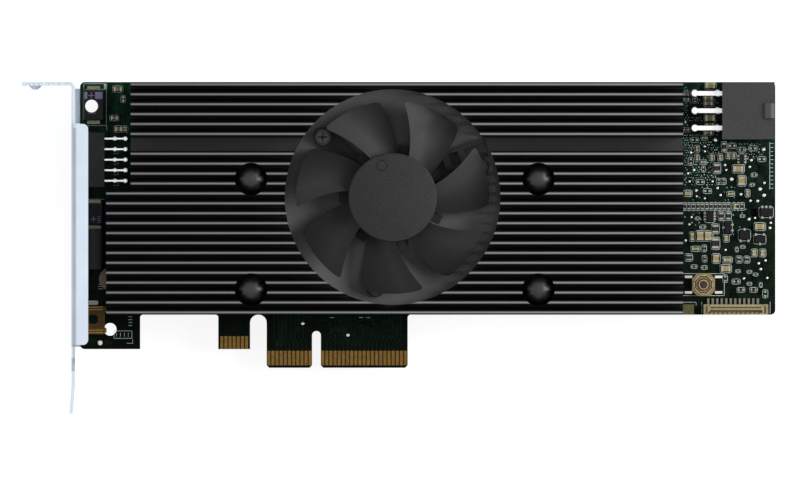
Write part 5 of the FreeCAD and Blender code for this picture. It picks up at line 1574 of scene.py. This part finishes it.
@dataclass
class Heatsink(Assembly):
    """Ribbed black block with its fixings and what lies under it."""

    head_radius: float = 3.09 * MM
    head_skirt: float = 1.6 * MM
    dome_rise: float = 1.92 * MM
    skirt_overlap: float = 0.35 * MM
    dome_rings: int = 9
    dome_turn: float = 88.0
    dome_sides: int = 40
    channel_at: float = 0.226
    channel_half: float = 1.55 * MM
    black: Finish = Finish("black_zinc_screw", shade(22, 22, 23), 0.4, 0.0, 0.14, 1.4 * MM,
                           relief=0.004 * MM, specular=0.45)

    def domes(self) -> bpy.types.Object:
        """Rounded crowns of the four screws.

        Returns:
            The piece.
        """
        crowns = Faces()
        for screw in loose_boxes("heatsink_screws"):
            foot = screw.high.z - self.head_skirt
            profile = [(self.head_radius, foot - self.skirt_overlap)]
            for step in range(self.dome_rings):
                turn = math.radians(self.dome_turn) * step / (self.dome_rings - 1)
                profile.append((self.head_radius * math.cos(turn),
                                foot + self.dome_rise * math.sin(turn)))
            crowns.turned(screw.centre.x, screw.centre.y, profile, self.dome_sides)
        return crowns.piece("screw_crowns", self.black, "black_screw", smooth=True)

    def build(self) -> Pieces:
        """Dresses the block, its screws, nuts, chips and pads.

        Returns:
            The extra pieces.
        """
        sink, fan = node_box("heatsink"), node_box("fan_impeller")
        middle = fan.high.y - fan.size.y * self.channel_at
        # The anodising carries painted highlights on the fin crowns and painted glints in the
        # grooves.
        dress("heatsink", Anodised(
            "black_anodised", shade(7, 7, 8), 0.55, 0.0, 0.2, 6 * MM, relief=0.006 * MM,
            relief_size=0.2 * MM, specular=0.05, low=sink.low.freeze(), high=sink.high.freeze(),
            pocket_middle=node_box("fan_shaft").centre.freeze(),
            channel_low=middle - self.channel_half, channel_high=middle + self.channel_half))
        dress_all({
            "heatsink_screws": self.black, "heatsink_nuts": NUT,
            "processor_chips": BLACK_CHIP, "bridge_chip": BLACK_CHIP,
            "power_inductors": Speckled("ferrite", shade(66, 66, 68), 0.7),
            "thermal_pads": Finish("thermal_pad", shade(140, 158, 178), 0.8),
            "support_pad": Finish("support_pad", shade(122, 108, 96), 0.6, specular=0.2),
        })
        return [self.domes()]


# ------------------------------------------------------------------ fan


@dataclass
class Fan(Assembly):
    """Seven-blade fan sunk in the heatsink."""

    blades: int = 7
    first_turn: float = 136.3
    span: float = 36.8
    sweep: float = 15.8
    camber: float = 0.9 * MM
    blade_lift: float = 1.05 * MM
    blade_drop: float = 0.8 * MM
    thickness: Spot = (1.3 * MM, 0.8 * MM)
    tip_rounding: float = 1.2 * MM
    hub_radius: float = 10.7 * MM
    hub_wall: float = 1.0 * MM
    hub_bevel: float = 0.5 * MM
    hub_sides: int = 84
    pinhole: float = 0.1 * MM
    root_in: float = 0.4 * MM
    rows: int = 16
    columns: int = 14
    first_rib: float = 180.0
    rib_reach: Spot = (10.2 * MM, 12.9 * MM)
    rib_width: float = 2.4 * MM
    rib_height: Spot = (7.5 * MM, 8.4 * MM)
    gate_turn: float = 109.2
    gate_reach: float = 8.06 * MM
    gate_radius: float = 1.15 * MM
    gate_line: float = 0.16 * MM
    recess_arm: float = 0.95 * MM
    head_groove: Spot = (1.5 * MM, 1.66 * MM)
    stand: float = 0.012 * MM
    ring_sides: int = 28
    # The fan plastic carries painted shade in its depths and painted light on its open faces.
    plastic: Sunken = Sunken("fan_plastic", shade(48, 48, 49), 0.6, 0.0, 0.1, 5 * MM,
                             specular=0.12, speck=0.3)
    dark: Speckled = Speckled("fan_rib_plastic", shade(42, 42, 43), 0.6, 0.0, specular=0.08,
                              speck=0.2)
    # Dark plastic laid as painted shade where the hub's gate recess and the screws' cross recesses
    # are.
    mark: Speckled = Speckled("fan_mark_plastic", shade(27, 27, 28), 0.6, 0.0, specular=0.06)

    def blade_spot(self, box: Box, reach: float, side: float, face: int,
                   turned: float) -> tuple[float, float, float]:
        """Finds one spot on a blade.

        Args:
            box: The impeller's box.
            reach: How far the spot is from the shaft.
            side: Where it is across the blade, -1 at the low edge and 1 at the high edge.
            face: 1 on the upper face and -1 on the lower.
            turned: How far this blade is round from the first, in degrees.

        Returns:
            Its place.
        """
        tip = box.size.x / 2
        slant = math.tan(math.radians(self.span / 2))
        flat = reach / math.hypot(1, side * slant)
        share = (tip - flat) / (tip - self.hub_radius)
        turn = math.radians(self.first_turn - self.span / 2 - self.sweep * share + turned)
        aside = side * flat * slant
        thick = self.thickness[1] + (self.thickness[0] - self.thickness[1]) * min(1, share)
        low, high = box.low.z + self.blade_lift, box.high.z - self.blade_drop
        start, middle, end = ((low, (low + high) / 2 - self.camber - thick / 2, high - thick)
                              if face < 0 else
                              (low + thick, (low + high) / 2 - self.camber + thick / 2, high))
        height = (middle + (end - start) / 2 * side + ((end + start) / 2 - middle) * side ** 2)
        return (box.centre.x + flat * math.cos(turn) - aside * math.sin(turn),
                box.centre.y + flat * math.sin(turn) + aside * math.cos(turn), height)

    def impeller(self) -> bpy.types.Object:
        """The cup-shaped hub and its smooth swept blades with rounded tip corners.

        Returns:
            The piece.
        """
        shape = Faces()
        box = node_box("fan_impeller")
        tip, hub, bevel = box.size.x / 2, self.hub_radius, self.hub_bevel
        low, high, inner, root = box.low.z, box.high.z, hub - self.hub_wall, hub - self.root_in
        shape.turned(box.centre.x, box.centre.y, [
            (self.pinhole, high - self.hub_wall), (inner, high - self.hub_wall), (inner, low),
            (hub, low), (hub, high - bevel), (hub - bevel * 0.3, high - bevel * 0.3),
            (hub - bevel, high), (self.pinhole, high)], self.hub_sides)
        for blade in range(self.blades):
            rings = []
            for row in range(self.rows + 1):
                reach = root + (tip - root) * math.sin(math.pi / 2 * row / self.rows)
                past = max(0.0, reach - tip + self.tip_rounding)
                inset = self.tip_rounding - math.sqrt(self.tip_rounding ** 2 - past ** 2)
                edge = 1 - inset / (reach * math.sin(math.radians(self.span / 2)))
                start = len(shape.corners)
                for face in (1, -1):
                    for step in range(self.columns + 1):
                        side = edge * face * (2 * step / self.columns - 1)
                        shape.corners.append(self.blade_spot(box, reach, side, face,
                                                             360 * blade / self.blades))
                rings.append(list(range(start, len(shape.corners))))
            shape.skin(rings)
        made = shape.piece("smooth_impeller", self.plastic, "fan_plastic", Body.ROTOR,
                           smooth=True)
        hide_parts("fan_impeller")
        return made

    def ribs(self, x: float, y: float) -> bpy.types.Object:
        """Stiffening ribs at the foot of the hub, one between each two blades.

        Args:
            x: The shaft's X.
            y: The shaft's Y.

        Returns:
            The piece.
        """
        ribs = Faces()
        inner, outer = self.rib_reach
        half = self.rib_width / 2
        for step in range(self.blades):
            turn = math.radians(self.first_rib + 360 * step / self.blades)
            ahead, aside = (math.cos(turn), math.sin(turn)), (-math.sin(turn), math.cos(turn))
            corners = [(x + ahead[0] * reach + aside[0] * side,
                        y + ahead[1] * reach + aside[1] * side)
                       for reach, side in ((inner, -half), (outer, -half), (outer, half),
                                           (inner, half))]
            ribs.prism(corners, *self.rib_height)
        return ribs.piece("hub_ribs", self.dark, "fan_plastic", Body.ROTOR)

    def gate_ring(self, x: float, y: float, top: float) -> bpy.types.Object:
        """A dark ring of painted shade where the mould's gate left a fine recess on the hub.

        Args:
            x: The shaft's X.
            y: The shaft's Y.
            top: How high the hub's top is.

        Returns:
            The piece.
        """
        ring = Faces()
        turn = math.radians(self.gate_turn)
        ring.ring(x + self.gate_reach * math.cos(turn), y + self.gate_reach * math.sin(turn),
                  self.gate_radius, self.gate_radius + self.gate_line, top - LET_IN,
                  top + self.stand, self.ring_sides)
        return ring.piece("hub_gate_ring", self.mark, "fan_plastic", Body.ROTOR)

    def recesses(self) -> bpy.types.Object:
        """Painted shade for the cross recesses in the heads of the fan's screws, laid as dark
        crosses and rings.

        Returns:
            The piece.
        """
        top = node_box("fan_screws").high.z
        crosses = Layer(top - LET_IN, top + self.stand)
        for screw in loose_boxes("fan_screws"):
            x, y = screw.centre.x, screw.centre.y
            crosses.plus(x, y, self.recess_arm, 0.3 * MM)
            crosses.ring(x, y, *self.head_groove, crosses.low, top + 0.01 * MM, self.ring_sides)
        return crosses.piece("fan_screw_recesses", self.mark, "fan_plastic")

    def build(self) -> Pieces:
        """Dresses the fan inside and out.

        Returns:
            The extra pieces.
        """
        dress_all({
            "fan_impeller": self.plastic,
            "fan_base": Speckled("fan_base_plastic", shade(50, 50, 52), 0.6, specular=0.1,
                                 speck=0.2),
            "fan_screws": Finish("fan_screw_zinc", shade(58, 58, 60), 0.4, 0.3, specular=0.3),
            "fan_bearing": Finish("sintered_bronze", shade(150, 116, 74), 0.45, 1.0),
            "fan_core": STEEL, "fan_windings": COPPER_WIRE,
            "fan_driver_board": Finish("fan_driver_lacquer", shade(24, 60, 42), 0.35),
            "fan_yoke": STEEL, "fan_magnet": Speckled("magnet_ferrite", shade(52, 50, 50), 0.7),
            "fan_shaft": NUT,
        })
        axis = node_box("fan_shaft").centre
        top = node_box("fan_impeller").high.z
        return [self.impeller(), self.ribs(axis.x, axis.y), self.gate_ring(axis.x, axis.y, top),
                self.recesses()]


# ------------------------------------------------------------------ headers and connectors


@dataclass
class PowerHeader(Assembly):
    """Six-way power header with its bent pins."""

    collar_radius: float = 0.84 * MM
    collar_height: float = 1.3 * MM
    cone_radius: float = 1.0 * MM
    leg_inset: float = 0.535 * MM

    def build(self) -> Pieces:
        """Dresses the header and adds the round collars at its bends and its solder cones.

        Returns:
            The extra pieces.
        """
        dress("power_housing", GREY_HOUSING)
        dress("power_pins", BRIGHT_PIN)
        face = node_box("circuit_board").high.z
        cones, collars = Faces(), Faces()
        for pin in loose_boxes("power_pins"):
            x, y, top = pin.low.x + self.leg_inset, pin.centre.y, pin.high.z + 0.03 * MM
            cones.turned(x, y, [(self.cone_radius, face),
                                (self.cone_radius * 0.7, face + 0.4 * MM),
                                (self.cone_radius * 0.56, face + 0.9 * MM)], 20)
            collars.turned(x, y, [
                (self.collar_radius * 0.7, top - self.collar_height),
                (self.collar_radius, top - self.collar_height * 0.7),
                (self.collar_radius, top - 0.14 * MM), (self.collar_radius * 0.84, top)], 24)
        return [cones.piece("power_solder_cones", TIN, "tin", smooth=True),
                collars.piece("power_pin_collars", BRIGHT_PIN, "tin", smooth=True)]


@dataclass
class TenWayHeader(Assembly):
    """Right-angle header that opens through the bracket."""

    foot_radius: float = 0.62 * MM
    collar_radius: float = 0.54 * MM
    wire: float = 0.42 * MM

    def build(self) -> Pieces:
        """Dresses the header and makes its slim bent pins with their collars and feet.

        Returns:
            The extra pieces.
        """
        dress("header_housing", BLACK_HOUSING)
        dress("header_pins", BRIGHT_PIN)
        face = node_box("circuit_board").high.z
        feet, pins = Faces(), Faces()
        half = self.wire / 2
        for pin in loose_boxes("header_pins"):
            x, y, top = (pin.high.x - pin.size.y / 2), pin.centre.y, pin.high.z
            feet.turned(x, y, [(self.foot_radius, face), (self.foot_radius * 0.8, face + 0.2 * MM),
                               (half * 1.2, face + 0.55 * MM)], 18)
            pins.prism(flat_box(pin.low.x, y - half, x, y + half).outline(), top - self.wire, top)
            pins.turned(x, y, [(half, face), (half, top - 0.8 * MM),
                               (self.collar_radius, top - 0.55 * MM),
                               (self.collar_radius, top - 0.08 * MM),
                               (self.collar_radius * 0.85, top + 0.02 * MM)], 20)
        bent = pins.piece("header_bent_pins", BRIGHT_PIN, "tin", smooth=True)
        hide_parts("header_pins")
        return [feet.piece("header_solder_feet", TIN, "tin", smooth=True), bent]


@dataclass
class WireConnector(Assembly):
    """Twelve-way side-entry wire connector."""

    skin: float = 0.02 * MM

    def build(self) -> Pieces:
        """Dresses the connector, marks its lip and ways with painted highlight and its recesses
        with painted shade.

        Returns:
            The extra pieces.
        """
        dress("wire_housing", BEIGE)
        dress("wire_pins", SHADED_TIN)
        body, skin = node_box("wire_housing"), self.skin
        top = body.high.z
        # Paler lines are painted highlight, darker panels are painted shade.
        lip, recess = Layer(top - skin, top + skin), Layer(top - skin, top + skin)
        x0, x1, y0, y1 = body.low.x, body.high.x, body.low.y, body.high.y
        foot, crest = y0 + 0.3 * MM, y1 - 0.35 * MM
        lip.stroke(0.24 * MM, (x0 + 1.2 * MM, foot), (x0 + 1.5 * MM, crest),
                   (x1 - 1.5 * MM, crest), (x1 - 1.2 * MM, foot))
        for pin in loose_boxes("wire_pins"):
            mouth = Vector((pin.centre.x, y0, 0))
            lip.line(spots_from(mouth, (-0.36, 0.15), (0.0, 0.6)), 0.13 * MM, lip.low,
                     top + 1.4 * skin)
            recess.panel(spots_from(mouth, (-0.05, 0.15), (0.4, 0.15), (0.4, 0.75), (0.1, 0.75)))
        slot = y1 - 0.75 * MM
        recess.stroke(0.3 * MM, (x0 + 1.8 * MM, slot), (x1 - 1.8 * MM, slot))
        for x in (x0 + 0.75 * MM, x1 - 0.75 * MM):
            recess.stroke(0.4 * MM, (x, y0 + 0.5 * MM), (x, y1 - 0.6 * MM))
        return [lip.piece("wire_housing_lip", BEIGE_HIGHLIGHT, "beige_housing"),
                recess.piece("wire_housing_recess", BEIGE_SHADE, "beige_housing")]


@dataclass
class TactSwitch(Assembly):
    """Small push switch with a brown button."""

    cover: Brushed = Brushed("switch_cover_metal", shade(124, 110, 78), 0.36, 0.6, 0.25,
                             0.9 * MM, specular=0.3, along=Axis.X)
    # Paler tone of the cover metal: painted highlight on the pressed rim and round the button.
    rim: Finish = Finish("switch_rim_metal", shade(164, 152, 118), 0.34, 0.6, 0.3, 0.7 * MM)
    # Darker tone: painted shade in the pressed ring inside the rim.
    groove_shade: Finish = Finish("switch_groove", shade(44, 34, 22), 0.5, 0.2, 0.2, specular=0.1)
    button: Finish = Finish("brown_button", shade(62, 40, 30), 0.5, 0.0, 0.16, 0.5 * MM,
                            specular=0.2)
    tan: Finish = Finish("button_skirt", shade(92, 74, 54), 0.5, 0.0, 0.14, 0.6 * MM,
                         specular=0.2)

    cut: float = 0.62
    ring_sides: int = 28

    def octagon(self, x: float, y: float, half: float) -> list[Spot]:
        """Returns a square with generous cut corners about a middle."""
        return flat_box(x - half, y - half, x + half, y + half).outline(half * self.cut)

    def build(self) -> Pieces:
        """Dresses the switch and adds its pressed rings, as a painted highlight ring and a painted
        shade ring, a painted highlight ring round the button, and its dark bed.

        Returns:
            The extra pieces.
        """
        dress_all({"switch_base": BLACK_HOUSING, "switch_cover": self.cover, "switch_dome": STEEL,
                   "switch_terminals": TIN, "switch_plunger": self.tan})
        cover, button, ends = map(node_box, ("switch_cover", "switch_plunger",
                                             "switch_terminals"))
        x, y, top, peak = cover.centre.x, cover.centre.y, cover.high.z, button.high.z
        # Painted highlight on the pressed rim, painted shade in the ring inside it.
        rim_highlights = Layer(top - LET_IN, top + 0.03 * MM)
        rim_highlights.stroke(0.2 * MM, *self.octagon(x, y, 2.2 * MM), closed=True)
        grooves = Layer(top - LET_IN, top + 0.012 * MM)
        grooves.stroke(0.22 * MM, *self.octagon(x, y, 1.98 * MM), closed=True)
        cap, shine, bed = Faces(), Faces(), Layer(0.0, LET_IN)
        cap.turned(x, y, [(0.98 * MM, peak - 0.05 * MM), (0.96 * MM, peak + 0.02 * MM),
                          (0.8 * MM, peak + 0.05 * MM)], self.ring_sides)
        # Painted highlight ring round the button's shoulder.
        shine.ring(x, y, 0.98 * MM, 1.14 * MM, peak - 0.03 * MM, peak + LET_IN, self.ring_sides)
        for low, high in ((ends.low.x - 0.3 * MM, cover.low.x),
                          (cover.high.x, ends.high.x - 0.2 * MM)):
            bed.panel(flat_box(low, ends.low.y - 0.1 * MM, high,
                               ends.high.y + 0.1 * MM).outline())
        return [rim_highlights.piece("switch_rim", self.rim, "switch_cover_steel"),
                grooves.piece("switch_groove_ring", self.groove_shade, "switch_cover_steel"),
                bed.piece("switch_bed", VIA_PLUG, "board"),
                cap.piece("button_cap", self.button, "button_brown", Body.BUTTON, smooth=True),
                shine.piece("button_shoulder", self.rim, "button_brown", Body.BUTTON)]


# ------------------------------------------------------------------ small parts


@dataclass
class SmallParts(Assembly):
    """Ended parts, small packages, their feet and their solder."""

    flare: float = 0.07 * MM
    climb: float = 0.5

    def build(self) -> Pieces:
        """Dresses the parts and adds solder fillets round their ends and feet.

        Returns:
            The extra pieces.
        """
        dress_all({
            "ceramic_capacitors": CERAMIC, "capacitor_ends": END_TIN, "resistors": RESISTOR,
            "resistor_ends": END_TIN, "small_packages": BLACK_CHIP, "package_leads": END_TIN,
            "oscillator": Finish("oscillator_lid", shade(86, 82, 52), 0.4, 0.2, 0.25, 1.2 * MM,
                                 specular=0.3),
        })
        face = node_box("circuit_board").high.z
        bright = ("capacitor_ends", "resistor_ends", "package_leads", "tantalum_terminals",
                  "switch_terminals")
        made = []
        for name, finish, nodes in (("solder_fillets", END_TIN, bright),
                                    ("wire_pin_fillets", SHADED_TIN, ("wire_pins",))):
            fillets = Faces()
            for end in (box for node in nodes for box in loose_boxes(node)):
                top = face + end.size.z * self.climb
                fillets.slope(end.grown(0.01 * MM), self.flare, face, top)
            made.append(fillets.piece(name, finish, "tin"))
        return made


@dataclass
class FrontParts(Assembly):
    """Parts beside the bracket: moulded capacitors, choke, light and side connector."""

    lilac: Finish = Finish("lilac_band", shade(126, 124, 152), 0.6, specular=0.15)
    case: Speckled = Speckled("tantalum_case", shade(22, 23, 25), 0.5, specular=0.12, speck=0.2)
    amber: Finish = Finish("amber_strip", shade(150, 112, 40), 0.4, 0.3, 0.3, 0.5 * MM)
    slope_in: float = 0.55 * MM
    dash_width: float = 0.14 * MM

    def build(self) -> Pieces:
        """Dresses the parts and adds what is printed on them.

        Returns:
            The extra pieces.
        """
        choke = node_box("moulded_choke")
        dress_all({
            "tantalum_bodies": self.case,
            "tantalum_terminals": Finish("dull_terminal", shade(120, 118, 98), 0.45, 0.5, 0.3,
                                         0.5 * MM, specular=0.2),
            # The choke's rounded top carries a painted highlight.
            "moulded_choke": Rounded("moulded_ferrite", shade(26, 26, 28), 0.62, specular=0.1,
                                     speck=0.15, crown_at=choke.centre.x + 0.1 * MM,
                                     crown_width=2.4 * MM),
            "status_light": Finish("cream_lens", shade(206, 202, 178), 0.4, coat=0.3),
            "side_connector": Finish("brown_housing", shade(74, 52, 20), 0.45, 0.0, 0.35,
                                     1.2 * MM, specular=0.15),
            "side_contacts": GOLD,
        })
        return self.bands() + self.socket_marks()

    def bands(self) -> Pieces:
        """Pale polarity prints on the moulded capacitors.

        Returns:
            The extra pieces.
        """
        first, second = reversed(loose_boxes("tantalum_bodies"))
        top = first.high.z
        prints = Layer(top - 0.01 * MM, top + 0.02 * MM)
        x0, x1 = first.low.x + self.slope_in, first.high.x - self.slope_in
        y0, y1 = first.high.y - 2.25 * MM, first.high.y - self.slope_in
        x, y = (x0 + x1) / 2 - 0.55 * MM, (y0 + y1) / 2
        for left, right in ((x0, x - 0.95 * MM), (x + 0.95 * MM, x1)):
            prints.panel(flat_box(left, y0, right, y1).outline())
        prints.plus(x, y, 0.6 * MM, 0.22 * MM)
        level = first.low.y + 1.75 * MM
        for step in range(3):
            mark = x + 0.7 * (step - 1) * MM
            prints.stroke(self.dash_width, (mark, level), (mark + 0.35 * MM, level))
        x, y = second.centre.x - 0.25 * MM, second.low.y + 1.55 * MM
        prints.plus(x, y, 0.55 * MM, 0.2 * MM)
        for step in range(4):
            level = second.low.y + (0.8 + 0.45 * step) * MM
            prints.stroke(self.dash_width, (x + 0.95 * MM, level), (x + 1.6 * MM, level))
        return [prints.piece("polarity_prints", self.lilac, "tantalum")]

    def socket_marks(self) -> Pieces:
        """Amber ridges and a dark window on the side connector.

        Returns:
            The extra pieces.
        """
        body = node_box("side_connector")
        top, left, right, middle = body.high.z, body.low.x, body.high.x, body.centre
        ridges = Layer(top - LET_IN, top + LET_IN)
        for y in (0.35, 0.95, 5.9, 6.5):
            ridges.stroke(0.2 * MM, (left + 0.3 * MM, body.low.y + y * MM),
                          (right - 0.5 * MM, body.low.y + (y + 0.12) * MM))
        window = Layer(top - LET_IN, top + 0.015 * MM)
        window.panel(flat_box(middle.x - 1.3 * MM, middle.y - 0.9 * MM, middle.x + 1.0 * MM,
                              middle.y + 1.3 * MM).outline(0.5 * MM))
        return [ridges.piece("side_connector_ridges", self.amber, "side_brown"),
                window.piece("side_connector_window", VIA_PLUG, "side_brown")]


# ------------------------------------------------------------------ studio


@dataclass
class Studio:
    """Pale floor, soft lamps, white surroundings and the camera."""

    view_width: float = 192.9 * MM
    aim_shift: Spot = (0.36 * MM, -0.5 * MM)
    camera_height: float = 0.5
    floor_size: float = 3.0
    sky_light: float = 0.17
    floor_glow: float = 0.87
    floor_grey: float = 0.8
    floor_shadow_grey: float = 0.3
    lamps: tuple[tuple[str, float, float, float, float, float], ...] = (
        ("key_lamp", 0.56, 0.12, 0.36, 0.5, 6.0),
        ("fill_lamp", -0.52, -0.04, 0.32, 0.52, 0.8),
        ("top_lamp", 0.0, 0.05, 0.70, 0.50, 0.4),
    )

    def floor(self) -> None:
        """A plain pale floor under the lowest point, which glows white to the camera."""
        low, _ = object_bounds()
        half = self.floor_size / 2
        mesh = bpy.data.meshes.new("floor")
        mesh.from_pydata([(-half, -half, low.z), (half, -half, low.z), (half, half, low.z),
                          (-half, half, low.z)], [], [(0, 1, 2, 3)])
        item = bpy.data.objects.new("floor", mesh)
        bpy.context.scene.collection.objects.link(item)
        recipe = Recipe(bpy.data.materials.new("pale_floor"))
        paint, thin = (recipe.add("ShaderNodeBsdfDiffuse", Color=(grey, grey, grey, 1.0))
                       for grey in (self.floor_grey, self.floor_shadow_grey))
        glow = recipe.add("ShaderNodeEmission", Strength=self.floor_glow)
        lit = recipe.join("ShaderNodeAddShader", thin, glow)
        recipe.close(recipe.join("ShaderNodeMixShader", paint, lit, Fac=recipe.seen()))
        mesh.materials.append(recipe.owner)
        item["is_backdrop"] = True

    def surroundings(self) -> None:
        """Soft even light from all round, seen as white by the camera and in reflections."""
        world = bpy.data.worlds.new("soft_surroundings")
        bpy.context.scene.world = world
        recipe = Recipe(world, "ShaderNodeOutputWorld")
        soft, white = (recipe.add("ShaderNodeBackground", Strength=strength, Color=(1, 1, 1, 1))
                       for strength in (self.sky_light, 1.0))
        recipe.close(recipe.join("ShaderNodeMixShader", soft, white, Fac=recipe.seen()))

    def light(self) -> None:
        """Hangs the soft lamps over the card, each aimed at its middle."""
        low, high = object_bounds()
        centre = (low + high) / 2
        for name, x, y, z, size, power in self.lamps:
            data = bpy.data.lights.new(name, "AREA")
            data.shape = "DISK"
            data.size = size
            data.energy = power
            lamp = bpy.data.objects.new(name, data)
            lamp.location = centre + Vector((x, y, z))
            lamp.rotation_mode = "QUATERNION"
            lamp.rotation_quaternion = (centre - lamp.location).to_track_quat("-Z", "Y")
            bpy.context.scene.collection.objects.link(lamp)

    def camera(self) -> None:
        """Looks straight down on the component side with no perspective."""
        low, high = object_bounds()
        data = bpy.data.cameras.new("camera")
        data.type = "ORTHO"
        data.ortho_scale = self.view_width
        data.clip_end = 10.0
        item = bpy.data.objects.new("camera", data)
        centre = (low + high) / 2
        item.location = (centre.x + self.aim_shift[0], centre.y + self.aim_shift[1],
                         high.z + self.camera_height)
        bpy.context.scene.collection.objects.link(item)
        bpy.context.scene.camera = item

    def build(self) -> None:
        """Sets up floor, light, surroundings and camera."""
        self.floor()
        self.surroundings()
        self.light()
        self.camera()
        bpy.context.scene.view_settings.view_transform = "Standard"


def main() -> None:
    """Dresses and lights the card."""
    logging.basicConfig(level=logging.INFO, format="%(message)s")
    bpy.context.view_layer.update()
    for assembly in (Board(), EdgeContacts(), Bracket(), Heatsink(), Fan(), PowerHeader(),
                     TenWayHeader(), WireConnector(), TactSwitch(), SmallParts(), FrontParts()):
        made = assembly.build()
        log.info("%s: %s", type(assembly).__name__,
                 ", ".join(item.name for item in made) or "dressed")
    Studio().build()


if __name__ == "__main__":
    main()
